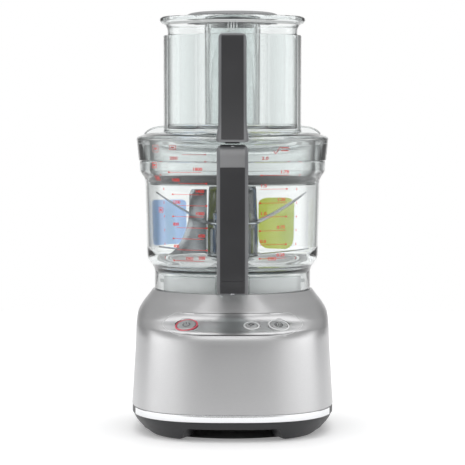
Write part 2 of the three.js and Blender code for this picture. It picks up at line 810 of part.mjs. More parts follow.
function buildGrip() {
  const innerFace = gripReach - gripThickness;
  const lowRoot = bowlFootRadius + gripStandoff + touch;
  const highRoot = rimRadius + 5 + touch;
  const lowArm = floorUnderside - 1;
  const highArm = flareBottom + 2;
  const steps = 14;
  const front = Array.from({ length: steps + 1 }, (_, i) => {
    const z = gripBottom + ((gripTop - gripBottom) * i) / steps;
    return [gripFace(z), z];
  });
  const outline = [
    [lowRoot, gripBottom],
    ...front,
    [highRoot + 1, gripTop],
    [highRoot, gripTop - 1],
    [highRoot, highArm],
    [innerFace - 5, highArm - 1],
    [innerFace - 1, highArm - 5],
    [innerFace, highArm - 10],
    [innerFace, lowArm + 14],
    [innerFace - 2, lowArm + 6],
    [innerFace - 7, lowArm + 1],
    [lowRoot, lowArm],
  ];
  let handle = sidePlate(outline, gripWidth);
  const rodHole = disc(rodRadius + touch, gripBottom - 5, gripTop + 5, pinSteps);
  const springWell = disc(springRadius + 1, springBottom - touch, gripTop - 12);
  const groove = sidePlate(
    faceStrip(gripFace, gripBottom - 2, gripTop - 2.2, 4, gripFaceDepth + touch),
    gripFaceWidth + 2 * touch,
  );
  handle = handle.subtract(rodHole.translate(0, -rodForward, 0));
  handle = handle.subtract(springWell.translate(0, -rodForward, 0)).subtract(groove);
  piece("bowl_handle", handle, gripEdge);

  const cover = sidePlate(
    faceStrip(gripFace, gripBottom + 0.6, padBottom - touch, 0.4, gripFaceDepth),
    gripFaceWidth,
  );
  piece("bowl_grip_cover", cover, gripDark);
  const pad = sidePlate(faceStrip(gripFace, padBottom, gripTop - 2.8, 0.4, gripFaceDepth), gripFaceWidth);
  piece("thumb_pad", pad, gripEdge);

  const rod = disc(rodRadius, gripBottom + 1.5, gripTop - 0.8, pinSteps);
  const collar = disc(springRadius + 0.4, springTop + touch, springTop + 2.5, pinSteps);
  piece("interlock_rod", rod.add(collar).translate(0, -rodForward, 0), machinedSteel);

  class Helix extends THREE.Curve {
    getPoint(t, target = new THREE.Vector3()) {
      const turn = 2 * Math.PI * springTurns * t;
      const height = THREE.MathUtils.lerp(springBottom + 0.5, springTop - 0.5, t);
      const radius = springRadius - 0.4;
      return target.set(radius * Math.cos(turn), radius * Math.sin(turn), height);
    }
  }
  const wire = new THREE.Shape();
  wire.absarc(0, 0, 0.4, 0, 2 * Math.PI);
  const coil = new THREE.ExtrudeGeometry(wire, {
    steps: springTurns * 8,
    curveSegments: 3,
    bevelEnabled: false,
    extrudePath: new Helix(),
  });
  piece("rod_spring", solid(coil).translate(0, -rodForward, 0), machinedSteel);
}

const springRadius = 3.2;
const springTurns = 4;
const springTop = gripTop - 40;
const springBottom = springTop - 18;

// ---------------------------------------------------------------- spindle and blades

const hubBottom = floorTop + 3;
const hubTop = plugBottom - 1;
const upperPlate = floorTop + 42;
const lowerPlate = floorTop + 9;
const hubWall = 2.2;
const hubNeck = tubeRadius + slideGap + hubWall;

function buildSpindle() {
  const tubeTop = floorTop + tubeHeight;
  const spindle = revolve(
    [
      [shaftRadius + touch, floorUnderside + 1.5],
      [tubeRadius - tubeWall - slideGap, floorUnderside + 1.5],
      [tubeRadius - tubeWall - slideGap, tubeTop + 1],
      [tubeRadius - 1, tubeTop + 1],
      [tubeRadius - 1, tubeTop + 18],
      [8, tubeTop + 20],
      [8, hubTop - 5],
      [0, hubTop - 5],
      [0, tubeTop + 12 + touch],
      [shaftRadius + touch, tubeTop + 12 + touch],
    ].reverse(),
    hubSteps,
  );
  piece("spindle", spindle, smokePlastic);

  const bore = tubeRadius + slideGap;
  const hub = revolve(
    [
      [0, hubTop],
      [8, hubTop],
      [hubRadius - 8, hubTop - 6],
      [hubRadius - 4, upperPlate + 5],
      [hubRadius, upperPlate + bladeThickness + touch],
      [hubNeck, upperPlate + bladeThickness + touch],
      [hubNeck, upperPlate - touch],
      [hubRadius, upperPlate - touch],
      [hubRadius, lowerPlate + bladeThickness + touch],
      [hubNeck, lowerPlate + bladeThickness + touch],
      [hubNeck, lowerPlate - touch],
      [hubRadius, lowerPlate - touch],
      [hubRadius, hubBottom],
      [bore, hubBottom],
      [bore, tubeTop + 2],
      [tubeRadius - 1 + touch, tubeTop + 3],
      [tubeRadius - 1 + touch, tubeTop + 18.3],
      [8.3, tubeTop + 20.3],
      [8.3, hubTop - 4.5],
      [0, hubTop - 4.5],
    ],
    hubSteps,
  );
  piece("blade_hub", hub, smokePlastic);
}

// A flat ring with two curved wings, half a turn apart, that rise towards their tips.
function bladePlate({ bottom, turn, sweep, chord, rise, tip }) {
  const root = hubRadius + 1;
  const steps = 8;
  let plate = ring(hubNeck + touch, root + 1.5, bottom, bottom + bladeThickness, hubSteps);
  for (const half of [0, Math.PI]) {
    const edge = (share, offset) => {
      const radius = root + (tip - root) * share;
      const angle = half + turn + sweep * share ** 1.3 + offset / radius;
      return new THREE.Vector2(radius * Math.cos(angle), radius * Math.sin(angle));
    };
    const shares = Array.from({ length: steps + 1 }, (_, i) => i / steps);
    const front = shares.map((share) => edge(share, 0));
    const rear = shares.map((share) => edge(share, chord * (1 - share ** 2.5) + 2));
    const geometry = new THREE.ExtrudeGeometry(new THREE.Shape([...front, ...rear.reverse()]), {
      depth: bladeThickness,
      bevelEnabled: false,
    });
    const position = geometry.getAttribute("position");
    for (let i = 0; i < position.count; i += 1) {
      const radius = Math.hypot(position.getX(i), position.getY(i));
      const share = Math.max(0, (radius - root) / (tip - root));
      position.setZ(i, position.getZ(i) + rise * share);
    }
    plate = plate.add(solid(geometry.translate(0, 0, bottom)));
  }
  return plate;
}

function buildBlades() {
  const upper = { bottom: upperPlate, turn: -0.25, sweep: 0.5, chord: 15, rise: 28, tip: bladeTip };
  const lower = { bottom: lowerPlate, turn: 2.2, sweep: 0.7, chord: 17, rise: 8, tip: bladeTip };
  piece("upper_blades", bladePlate(upper), bladeSteel);
  piece("lower_blades", bladePlate(lower), bladeSteel);
}

// ---------------------------------------------------------------- lid

// The chute's plan: a wide oval with a round lobe at the front.
function chuteEdge(angle, inset) {
  const oval = ovalRadius(angle, chuteHalfWidth - inset, chuteHalfDepth - inset, chutePower);
  const forward = -Math.sin(angle) * lobeCentre;
  const sideways = Math.cos(angle) * lobeCentre;
  const lobe = forward + Math.sqrt((lobeRadius - inset) ** 2 - sideways ** 2);
  return Math.max(oval, lobe);
}

function chuteSolid(heights, insetAt) {
  const made = loft(heights, (angle, z) => chuteEdge(angle, insetAt(z)));
  return made.translate(0, -chuteCentre, 0);
}

const plugInside = plugRadius - lidWall;
const skirtInside = neckRadius + 1;

function buildLid() {
  const under = lidTop - lidWall;
  const skirtOutside = rimRadius + 0.8;
  let lid = revolve([
    [0, lidTop],
    [lidRimRadius - 16, lidTop],
    [lidRimRadius - 6, lidTop - 2],
    [lidRimRadius - 0.5, lidEdge + 1.4],
    [lidRimRadius, lidEdge],
    [skirtOutside, skirtBottom],
    [skirtInside, skirtBottom],
    [skirtInside, lidEdge],
    [plugRadius, lidEdge],
    [plugRadius, plugBottom],
    [plugInside, plugBottom],
    [plugInside, under],
    [0, under],
  ]);
  lid = lid.subtract(chuteSolid([under - 1, lidTop + 1], () => chuteWall));
  const sealBottom = plugBottom + 1.2;
  const sealTop = sealBottom + sealHeight;
  lid = lid.subtract(
    ring(plugRadius - 1.3, plugRadius + 2, sealBottom - touch, sealTop + touch, largeSteps),
  );
  piece("lid", lid, clearPlastic);
  piece(
    "lid_seal",
    ring(plugRadius - 1, sealRadius, sealBottom, sealTop, largeSteps),
    sealRubber,
  );

  const chute = chuteSolid([chuteBottom, chuteTop], () => 0);
  const inside = chuteSolid([chuteBottom - 1, chuteTop + 1], () => chuteWall);
  piece("feed_chute", chute.subtract(inside), clearPlastic);
}

const sealRadius = bowlTopRadius - bowlWall - 0.5;

function buildLidGrip() {
  const back = chuteCentre + lobeCentre + lobeRadius + 2 * touch;
  const top = chuteTop - 0.5;
  const foot = gripTop + 2.8;
  const lip = lidRimRadius + 1;
  const topReach = back + lidGripTopDepth;
  const footReach = gripReach - gripEnds;
  const frontAt = (z) => {
    const drop = THREE.MathUtils.clamp((top - z) / (top - foot), 0, 1);
    return topReach + (footReach - topReach) * drop ** 2.2;
  };
  const steps = 9;
  const front = Array.from({ length: steps }, (_, i) => {
    const z = foot + ((top - 3 - foot) * i) / (steps - 1);
    return [frontAt(z), z];
  });
  const outline = [
    [back, lidTop + touch],
    [lip - 8, lidTop + touch],
    [lip, lidTop - 1.5],
    [lip, foot],
    ...front,
    [topReach - 3, top],
    [back, top],
  ];
  const faceWidth = lidGripWidth - 5.4;
  const groove = faceStrip(frontAt, foot + 4.5, top - 3.4, 3, gripFaceDepth + touch);
  const tabY = -rodForward;
  const slot = block(-6.8, 6.8, tabY - 1.7, tabY + 2.3, foot - 1, foot + 3.8);
  const handle = sidePlate(outline, lidGripWidth)
    .subtract(sidePlate(groove, faceWidth + 2 * touch))
    .subtract(slot);
  piece("lid_handle", handle, gripEdge);
  const cover = faceStrip(frontAt, foot + 4.8, top - 3.7, 0.4, gripFaceDepth);
  piece("lid_grip_cover", sidePlate(cover, faceWidth), gripDark);
  const tab = block(-6.5, 6.5, tabY - 1.4, tabY + 2, foot - 1.5, foot + 3.5);
  piece("interlock_tab", tab, darkPlastic);
}

// ---------------------------------------------------------------- pushers

function buildPushers() {
  const bottom = chuteBottom + 2.4;
  const bodyInset = chuteWall + slideGap;
  const flare = [
    [bottom, bodyInset],
    [chuteTop + 1.5, bodyInset],
    [chuteTop + 7, bodyInset - 0.8],
    [chuteTop + 11, bodyInset - 3],
    [flangeTop - 4.6, -flangeReach + 1],
    [flangeTop - 3, -flangeReach],
    [flangeTop - 1, -flangeReach],
    [flangeTop, -flangeReach + 1],
  ];
  const insetAt = (z) => {
    const above = Math.max(1, flare.findIndex(([height]) => height >= z - 1e-3));
    const [z0, inset0] = flare[above - 1];
    const [z1, inset1] = flare[above];
    return THREE.MathUtils.mapLinear(z, z0, z1, inset0, inset1);
  };
  const heights = flare.map(([height]) => height);
  const outside = chuteSolid(heights, insetAt);
  const hollow = chuteSolid([bottom + 3, chuteTop + 7, flangeTop - 3, flangeTop + 1], (z) =>
    z < chuteTop + 8 ? bodyInset + pusherWall : bodyInset - 1.5,
  );
  const tubeOutside = smallPusherRadius + slideGap + smallPusherWall;
  const tubeInside = smallPusherRadius + slideGap;
  const tube = disc(tubeOutside, bottom + 1, flangeTop - 2, largeSteps).translate(0, -chuteCentre, 0);
  const bore = disc(tubeInside, bottom - 1, flangeTop + 2, largeSteps).translate(0, -chuteCentre, 0);
  const front = chuteCentre + lobeCentre + lobeRadius;
  let pusher = outside.subtract(hollow).add(tube).subtract(bore);
  for (const side of [-1, 1]) {
    const x = side * 2.6;
    const post = block(x - 1.7, x + 1.7, -front - 3.2, -front - 1, chuteTop + 0.4, flangeTop - 4);
    const tie = block(x - 1.7, x + 1.7, -front - 3.2, -front + 3, chuteTop + 11, flangeTop - 4);
    pusher = pusher.add(post).add(tie);
  }
  piece("large_pusher", pusher, clearPlastic);

  const cupBottom = bottom + 0.6;
  const cup = revolve(
    [
      [0, cupBottom],
      [smallPusherRadius, cupBottom],
      [smallPusherRadius, flangeTop - 1],
      [smallPusherRadius - smallPusherWall, flangeTop - 1],
      [smallPusherRadius - smallPusherWall, cupBottom + smallPusherFloor],
      [0, cupBottom + smallPusherFloor],
    ],
    largeSteps,
  );
  piece("small_pusher", cup.translate(0, -chuteCentre, 0), clearPlastic);

  const capBottom = flangeTop + touch;
  const levels = [0, 0.3, 0.62, 0.86, 1];
  const cap = loft(
    levels.map((level) => capBottom + capHeight * level),
    (angle, z) => {
      const level = (z - capBottom) / capHeight;
      const share = 1 - 0.55 * level ** 3;
      return ovalRadius(angle, capHalfWidth * share, capHalfDepth * share, 2.2);
    },
    largeSteps,
  );
  const spigotRadius = smallPusherRadius - smallPusherWall - touch;
  const spigot = disc(spigotRadius, flangeTop - 12, capBottom + 1, largeSteps);
  piece("small_pusher_cap", cap.add(spigot).translate(0, -chuteCentre, 0), gripDark);
}

buildHousing();
buildButtons();
buildBottom();
buildBoard();
buildSeat();
buildMotor();
buildBowl();
buildGrip();
buildSpindle();
buildBlades();
buildLid();
buildLidGrip();
buildPushers();

export default machine;
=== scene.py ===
"""The looks of a food processor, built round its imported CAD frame.

Sizes are in millimetres about the drive axis, with the front towards -Y, and at() turns
them into the frame's metres. Heights and widths come from the frame's own nodes.
"""

import json
import math

import bmesh
import bpy
from mathutils import Matrix, Vector
from mathutils.geometry import delaunay_2d_cdt


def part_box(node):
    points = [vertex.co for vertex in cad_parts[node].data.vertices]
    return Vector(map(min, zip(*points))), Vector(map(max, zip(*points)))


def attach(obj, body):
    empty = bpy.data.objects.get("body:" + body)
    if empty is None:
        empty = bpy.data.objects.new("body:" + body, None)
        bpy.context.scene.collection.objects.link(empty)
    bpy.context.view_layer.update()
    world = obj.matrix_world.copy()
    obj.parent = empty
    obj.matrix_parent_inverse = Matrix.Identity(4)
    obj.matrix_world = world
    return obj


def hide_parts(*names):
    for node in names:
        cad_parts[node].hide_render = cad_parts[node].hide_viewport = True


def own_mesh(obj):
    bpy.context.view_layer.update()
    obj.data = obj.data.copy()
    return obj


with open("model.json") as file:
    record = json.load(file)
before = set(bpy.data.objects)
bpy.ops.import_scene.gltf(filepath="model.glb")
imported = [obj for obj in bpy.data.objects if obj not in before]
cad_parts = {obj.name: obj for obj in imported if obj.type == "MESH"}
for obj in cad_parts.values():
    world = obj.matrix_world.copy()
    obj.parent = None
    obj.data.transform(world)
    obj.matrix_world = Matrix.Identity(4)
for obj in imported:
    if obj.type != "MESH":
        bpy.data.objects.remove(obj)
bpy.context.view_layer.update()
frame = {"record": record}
scene = bpy.context.scene

MM = 0.001
TAU = 2 * math.pi
JOINTS = {joint["name"]: joint for joint in frame["record"]["behaviour"]["joints"]}
AXIS_Y = JOINTS["drive_spin"]["pos_m"][1]
ROUND_STEPS = 160
TINY = 1e-6


def at(x, y, z):
    return Vector((x * MM, y * MM + AXIS_Y, z * MM))


def span(node):
    """A node's lowest and highest corners in millimetres about the drive axis."""
    low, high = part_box(node)
    shift = Vector((0, AXIS_Y, 0))
    return (Vector(low) - shift) / MM, (Vector(high) - shift) / MM


# ------------------------------------------------------------------ sizes from the frame

HOUSING_LOW, HOUSING_HIGH = span("base_housing")
DECK = HOUSING_HIGH.z
HOUSING_BOTTOM = HOUSING_LOW.z
BOWL_LOW, BOWL_HIGH = span("bowl")
RIM_RADIUS = BOWL_HIGH.x
BOWL_TOP = BOWL_HIGH.z
FOOT = BOWL_LOW.z
LID_LOW, LID_HIGH = span("lid")
LID_RADIUS = LID_HIGH.x
LID_TOP = LID_HIGH.z
PLUG_BOTTOM = LID_LOW.z
CHUTE_LOW, CHUTE_HIGH = span("feed_chute")
CHUTE_TOP = CHUTE_HIGH.z
PUSHER_LOW, PUSHER_HIGH = span("large_pusher")
FLANGE_TOP = PUSHER_HIGH.z
CUP_LOW, CUP_HIGH = span("small_pusher")
CAP_LOW, CAP_HIGH = span("small_pusher_cap")
HUB_LOW, HUB_HIGH = span("blade_hub")
GRIP_LOW, GRIP_HIGH = span("bowl_handle")
LID_GRIP_LOW, LID_GRIP_HIGH = span("lid_handle")

FLOOR_UNDER = FOOT + 18
FLOOR_TOP = FLOOR_UNDER + 2.6
LEDGE = BOWL_TOP - 16.5
SKIRT_BOTTOM = LEDGE + 0.6
LID_EDGE = LID_TOP - 5.8
BOWL_WALL = 2.6
BOWL_RADIUS = RIM_RADIUS - 7
BOWL_TOP_RADIUS = BOWL_RADIUS + 1.6
FOOT_RADIUS = 74.6
NECK_RADIUS = RIM_RADIUS - 2.7
FLARE_BOTTOM = LEDGE - 20


# ------------------------------------------------------------------ mesh helpers


def rounded(corners, segments=4):
    """A closed outline of (u, v, radius) corners with each corner turned into an arc.

    Every corner gives the same number of points whatever its radius is limited to, so
    outlines worked out at different angles join up.
    """
    points = []
    count = len(corners)
    for i, (u, v, radius) in enumerate(corners):
        here = Vector((u, v))
        if radius <= 0:
            points.append(here)
            continue
        before = Vector(corners[i - 1][:2]) - here
        after = Vector(corners[(i + 1) % count][:2]) - here
        reach = min(radius, before.length * 0.48, after.length * 0.48)
        start = here + before.normalized() * reach
        end = here + after.normalized() * reach
        for step in range(segments + 1):
            t = step / segments
            points.append(start * (1 - t) ** 2 + here * 2 * t * (1 - t) + end * t * t)
    return points


def loft(rings, around=True, looped=False, capped=False):
    """Faces between rings of points that match one another.

    around joins each ring's last point to its first, and looped joins the last ring to the
    first. capped closes the first and the last ring.
    """
    row = len(rings[0])
    count = len(rings)
    faces = []
    for i in range(count if looped else count - 1):
        j = (i + 1) % count
        for k in range(row if around else row - 1):
            m = (k + 1) % row
            faces.append((i * row + k, j * row + k, j * row + m, i * row + m))
    if capped:
        faces.append(tuple(range(row)))
        faces.append(tuple(range((count - 1) * row, count * row))[::-1])
    return [point for ring in rings for point in ring], faces


def follow(number, table):
    """Reads a table of (number, level) pairs in between its rows, and holds its ends."""
    for (number0, level0), (number1, level1) in zip(table, table[1:]):
        if number0 <= number <= number1:
            share = (number - number0) / max(TINY, number1 - number0)
            return level0 + (level1 - level0) * share
    return table[0][1] if number < table[0][0] else table[-1][1]


def ring_mesh(profile, steps=ROUND_STEPS, closed=True, centre=0.0, arc=None):
    """Vertices and faces of a profile carried round a vertical axis.

    profile(angle) gives (radius, height, corner radius) points. An open profile starts and
    ends on the axis. arc limits the turn to a pair of angles and closes its two ends.
    """
    whole = arc is None
    first, last = (0, TAU) if whole else arc
    rings = []
    for j in range(steps if whole else steps + 1):
        angle = first + (last - first) * j / steps
        across, along = math.cos(angle), math.sin(angle)
        rings.append([at(r * across, r * along - centre, z) for r, z in rounded(profile(angle))])
    return loft(rings, closed, whole, not whole)


def lathe(points, **options):
    return ring_mesh(lambda angle: points, **options)


def joined(*parts):
    vertices = []
    faces = []
    for part_vertices, part_faces in parts:
        start = len(vertices)
        vertices.extend(part_vertices)
        faces.extend(tuple(start + i for i in face) for face in part_faces)
    return vertices, faces


def tube_mesh(points, radius, sides=8, closed=False):
    """A thin tube that follows points given in millimetres about the drive axis."""
    rings = []
    count = len(points)
    for i, here in enumerate(points):
        before = points[i - 1] if closed or i else here
        after = points[(i + 1) % count] if closed or i < count - 1 else here
        along = (Vector(after) - Vector(before)).normalized()
        side = along.cross(Vector((0, 0, 1)))
        if side.length < 1e-3:
            side = along.cross(Vector((0, 1, 0)))
        side.normalize()
        up = side.cross(along)
        ring = []
        for k in range(sides):
            turn = TAU * k / sides
            ring.append(at(*(Vector(here) + radius * (math.cos(turn) * side + math.sin(turn) * up))))
        rings.append(ring)
    return loft(rings, looped=closed, capped=not closed)


def sweep_mesh(stations, section):
    """A solid between an outer and an inner side line, with a closed section across.

    Each station gives an outer and an inner (forward, up) point and a half width.
    section(half_width, thickness) gives (across, depth) points, depth from the outer line.
    """
    rings = []
    for outer, inner, half in stations:
        outer, inner = Vector(outer), Vector(inner)
        inward = (inner - outer).normalized()
        ring = []
        for across, depth in section(half, (inner - outer).length):
            spot = outer + inward * depth
            ring.append(at(across, -spot.x, spot.y))
        rings.append(ring)
    return loft(rings, capped=True)


def bezier(*controls, steps):
    """Points along a curve that leaves its first control point and ends at its last."""
    order = len(controls) - 1
    points = []
    for i in range(steps + 1):
        t = i / steps
        weights = [math.comb(order, k) * (1 - t) ** (order - k) * t**k for k in range(order + 1)]
        points.append(tuple(sum(w * v for w, v in zip(weights, row)) for row in zip(*controls)))
    return points


def piece(name, geometry, body, slot, replaces=(), sharp=35, bevel=0.0, weld=True, material=None):
    """Makes a visible piece that rides a body. Its material is its slot's unless one is given."""
    vertices, faces = geometry
    mesh = bpy.data.meshes.new(name)
    mesh.from_pydata([tuple(v) for v in vertices], [], faces)
    work = bmesh.new()
    work.from_mesh(mesh)
    if weld:
        bmesh.ops.remove_doubles(work, verts=work.verts, dist=1e-6)
    bmesh.ops.dissolve_degenerate(work, edges=work.edges, dist=1e-7)
    bmesh.ops.recalc_face_normals(work, faces=work.faces)
    work.to_mesh(mesh)
    work.free()
    mesh.shade_smooth()
    mesh.set_sharp_from_angle(angle=math.radians(sharp))
    mesh.materials.append(material or SLOT_MATERIALS[slot])
    made = bpy.data.objects.new(name, mesh)
    scene.collection.objects.link(made)
    if bevel:
        modifier = made.modifiers.new("edges", "BEVEL")
        modifier.width = bevel * MM
        modifier.segments = 4
        modifier.limit_method = "ANGLE"
        modifier.angle_limit = math.radians(40)
        modifier.harden_normals = True
    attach(made, body)
    if replaces:
        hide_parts(*replaces)
    return made


# ------------------------------------------------------------------ materials


def add_node(tree, kind, **values):
    """Makes a shader node and sets its sockets, with _ for a space in a socket's name."""
    node = tree.nodes.new(f"ShaderNode{kind}")
    for key, value in values.items():
        node.inputs[key.replace("_", " ")].default_value = value
    return node


class Surface:
    """A Principled material and the few texture chains that its finish needs."""

    def __init__(self, name, color, roughness, metallic=0.0):
        self.material = bpy.data.materials.new(name)
        self.material.use_nodes = True
        self.tree = self.material.node_tree
        self.shader = self.tree.nodes["Principled BSDF"]
        self.color = (*color, 1.0)
        self.shader.inputs["Base Color"].default_value = self.color
        self.shader.inputs["Roughness"].default_value = roughness
        self.shader.inputs["Metallic"].default_value = metallic
        self.places = add_node(self.tree, "TexCoord")

    def set(self, **values):
        for key, value in values.items():
            self.shader.inputs[key.replace("_", " ")].default_value = value

    def noise(self, scale, stretch=(1, 1, 1), detail=4):
        mapping = add_node(self.tree, "Mapping", Scale=stretch)
        self.tree.links.new(self.places.outputs["Object"], mapping.inputs["Vector"])
        texture = add_node(self.tree, "TexNoise", Scale=scale, Detail=detail, Roughness=0.55)
        self.tree.links.new(mapping.outputs["Vector"], texture.inputs["Vector"])
        return texture.outputs["Fac"]

    def spread(self, source, low, high, margin):
        """Maps a texture's middle range, a margin in from 0 and 1, to low..high."""
        node = add_node(
            self.tree, "MapRange", From_Min=margin, From_Max=1 - margin, To_Min=low, To_Max=high
        )
        self.tree.links.new(source, node.inputs["Value"])
        return node.outputs["Result"]

    def vary_roughness(self, source, low, high):
        self.tree.links.new(self.spread(source, low, high, 0.3), self.shader.inputs["Roughness"])

    def vary_color(self, source, other):
        mix = self.tree.nodes.new("ShaderNodeMix")
        mix.data_type = "RGBA"
        mix.inputs["A"].default_value = self.color
        mix.inputs["B"].default_value = (*other, 1.0)
        self.tree.links.new(self.spread(source, 0, 1, 0.35), mix.inputs["Factor"])
        self.tree.links.new(mix.outputs["Result"], self.shader.inputs["Base Color"])

    def bump(self, source, depth, strength):
        """Adds relief of this depth in millimetres."""
        node = add_node(self.tree, "Bump", Strength=strength, Distance=depth * MM)
        self.tree.links.new(source, node.inputs["Height"])
        self.tree.links.new(node.outputs["Normal"], self.shader.inputs["Normal"])


def brushed_metal(name, color, roughness, grain=(1, 1, 60), scale=260):
    surface = Surface(name, color, roughness, 1.0)
    grain_noise = surface.noise(scale, grain, 3)
    clouds = surface.noise(14, detail=3)
    surface.vary_roughness(clouds, roughness - 0.03, roughness + 0.04)
    surface.vary_color(grain_noise, tuple(c * 0.93 for c in color))
    surface.bump(grain_noise, 0.006, 0.25)
    return surface.material


def moulded(name, color, roughness, grain_depth=0.02, grain_scale=1600, worn=1.25, shine=0.5):
    surface = Surface(name, color, roughness)
    surface.set(Specular_IOR_Level=shine)
    grain = surface.noise(grain_scale, detail=2)
    smudges = surface.noise(30, detail=5)
    surface.vary_roughness(smudges, roughness - 0.05, roughness + 0.08)
    surface.vary_color(surface.noise(9, detail=4), tuple(min(1, c * worn) for c in color))
    surface.bump(grain, grain_depth, 0.35)
    return surface.material


def film(name, color):
    """Thin coloured film that glows with the light behind it."""
    surface = Surface(name, color, 0.4)
    surface.set(Transmission_Weight=0.85, IOR=1.3)
    surface.vary_roughness(surface.noise(30, detail=4), 0.3, 0.5)
    surface.vary_color(surface.noise(24, detail=4), tuple(min(1, c * 1.12) for c in color))
    surface.bump(surface.noise(260, detail=2), 0.02, 0.3)
    return surface.material


def clear_resin(name, tint, depth_tint, density, roughness=0.015):
    """Clear moulded plastic: it bends what is seen through it, and long paths go darker."""
    surface = Surface(name, tint, roughness)
    surface.set(Transmission_Weight=1.0, IOR=1.47)
    surface.vary_roughness(surface.noise(24, detail=4), roughness, roughness + 0.035)
    surface.bump(surface.noise(38, detail=1), 0.05, 0.25)
    tree = surface.tree
    absorb = add_node(tree, "VolumeAbsorption", Color=(*depth_tint, 1.0), Density=density)
    output = tree.nodes["Material Output"]
    tree.links.new(absorb.outputs["Volume"], output.inputs["Volume"])
    # Shadow rays go straight through, a little dimmer, so that what is inside gets light.
    through = add_node(tree, "BsdfTransparent", Color=(*(c * 0.96 for c in tint), 1.0))
    path = add_node(tree, "LightPath")
    choose = add_node(tree, "MixShader")
    tree.links.new(path.outputs["Is Shadow Ray"], choose.inputs["Fac"])
    tree.links.new(surface.shader.outputs["BSDF"], choose.inputs[1])
    tree.links.new(through.outputs["BSDF"], choose.inputs[2])
    tree.links.new(choose.outputs["Shader"], output.inputs["Surface"])
    return surface.material


STEEL = brushed_metal("satin_steel", (0.55, 0.55, 0.555), 0.35)
CHROME = brushed_metal("bright_trim", (0.86, 0.87, 0.88), 0.07, scale=90)
BLADE = brushed_metal("blade_steel", (0.36, 0.38, 0.40), 0.22, (40, 1, 1))
TURNED = brushed_metal("turned_steel", (0.55, 0.56, 0.58), 0.3)
CORE = brushed_metal("winding_core", (0.36, 0.25, 0.17), 0.45)
CLEAR = clear_resin("clear_resin", (0.965, 0.977, 0.975), (0.50, 0.56, 0.56), 36)
SMOKE = clear_resin("smoke_resin", (0.62, 0.65, 0.66), (0.25, 0.28, 0.29), 46, 0.05)
BLACK = moulded("black_moulding", (0.016, 0.0165, 0.018), 0.42, 0.03)
CHARCOAL = moulded("charcoal_moulding", (0.034, 0.034, 0.036), 0.45, 0.015, shine=0.22)
GREY_EDGE = moulded("grey_moulding", (0.115, 0.118, 0.124), 0.33, 0.01)
PAD_GREY = moulded("thumb_moulding", (0.17, 0.172, 0.176), 0.4, 0.015)
SEAT_GREY = moulded("seat_moulding", (0.8, 0.81, 0.81), 0.35, 0.02, worn=1.05)
RUBBER = moulded("foot_rubber", (0.018, 0.018, 0.018), 0.8, 0.05, 900)
SILICONE = moulded("seal_silicone", (0.05, 0.053, 0.053), 0.5, 0.02, 900, shine=0.3)
BOARD = moulded("solder_mask", (0.02, 0.09, 0.04), 0.4, 0.05, 400)
# The white plastic of the button rings, also used for the bead round the panel that is a painted
# highlight.
OPAL_AND_EDGE_HIGHLIGHT = moulded("opal_ring_and_edge_highlight", (0.86, 0.87, 0.87), 0.25, 0.005, 600, 1.02)
RED_RING = moulded("red_ring", (0.72, 0.12, 0.16), 0.25, 0.005, 600, 1.1)
BLUE = film("blue_film", (0.30, 0.52, 0.88))
LIME = film("lime_film", (0.50, 0.58, 0.008))
PRINT = moulded("red_print", (0.70, 0.045, 0.035), 0.4, 0.004, 900, 1.15)
ICON = moulded("icon_print", (0.06, 0.06, 0.065), 0.45, 0.004, 900)

SLOT_MATERIALS = {
    "housing_steel": STEEL,
    "chrome": CHROME,
    "machined_steel": TURNED,
    "blade_steel": BLADE,
    "winding_core": CORE,
    "dark_plastic": BLACK,
    "grip_dark": CHARCOAL,
    "grip_edge": GREY_EDGE,
    "clear_plastic": CLEAR,
    "smoke_plastic": SMOKE,
    "rubber": RUBBER,
    "seal_silicone": SILICONE,
    "board": BOARD,
    "white_light_ring": OPAL_AND_EDGE_HIGHLIGHT,
    "red_light_ring": RED_RING,
    "blue_film": BLUE,
    "lime_film": LIME,
}


def finish_cad_nodes():
    """Gives every CAD node the procedural material of its slot."""
    slots = {part["node"]: part["material_slot"] for part in frame["record"]["subparts"]}
    for node, slot in slots.items():
        target = bpy.data.objects.get(node)
        if target is None:
            continue
        for place in target.material_slots:
            place.material = SLOT_MATERIALS[slot]


# ------------------------------------------------------------------ the base's surface

SHOULDER = 92
STATIONS = (  # height, side, front, back, corner power, as shares of what is past the deck
    (HOUSING_BOTTOM, 1, 1, 1, 1),
    (HOUSING_BOTTOM + 30, 0.905, 0.972, 0.945, 1),
    (SHOULDER - 7, 0.815, 0.945, 0.905, 1),
    (SHOULDER, 0.805, 0.92, 0.9, 1),
    (SHOULDER + 6.8, 0.79, 0.835, 0.88, 0.97),
    (SHOULDER + 11.2, 0.775, 0.58, 0.85, 0.9),
    (SHOULDER + 16.4, 0.745, 0.24, 0.8, 0.75),
    (SHOULDER + 20.8, 0.68, 0.13, 0.7, 0.62),
    (SHOULDER + 28, 0.47, 0.07, 0.45, 0.4),
    (SHOULDER + 34.8, 0.2, 0.03, 0.19, 0.15),
    (DECK, 0, 0, 0, 0),
)
DECK_RADIUS = FOOT_RADIUS + 1.9
SEAT_FLANGE = 6  # past the seat's wall, under the deck
CORNER_POWER = 2.7


def slopes(xs, ys):
    """Slopes for a smooth curve through points that never overshoots them."""
    steps = [(ys[i + 1] - ys[i]) / (xs[i + 1] - xs[i]) for i in range(len(xs) - 1)]
    inner = []
    for before, after in zip(steps, steps[1:]):
        inner.append(0 if before * after <= 0 else 2 * before * after / (before + after))
    return [steps[0], *inner, steps[-1]]


HEIGHTS = [station[0] for station in STATIONS]
CURVES = []
for column in range(1, 5):
    values = [station[column] for station in STATIONS]
    CURVES.append((values, slopes(HEIGHTS, values)))


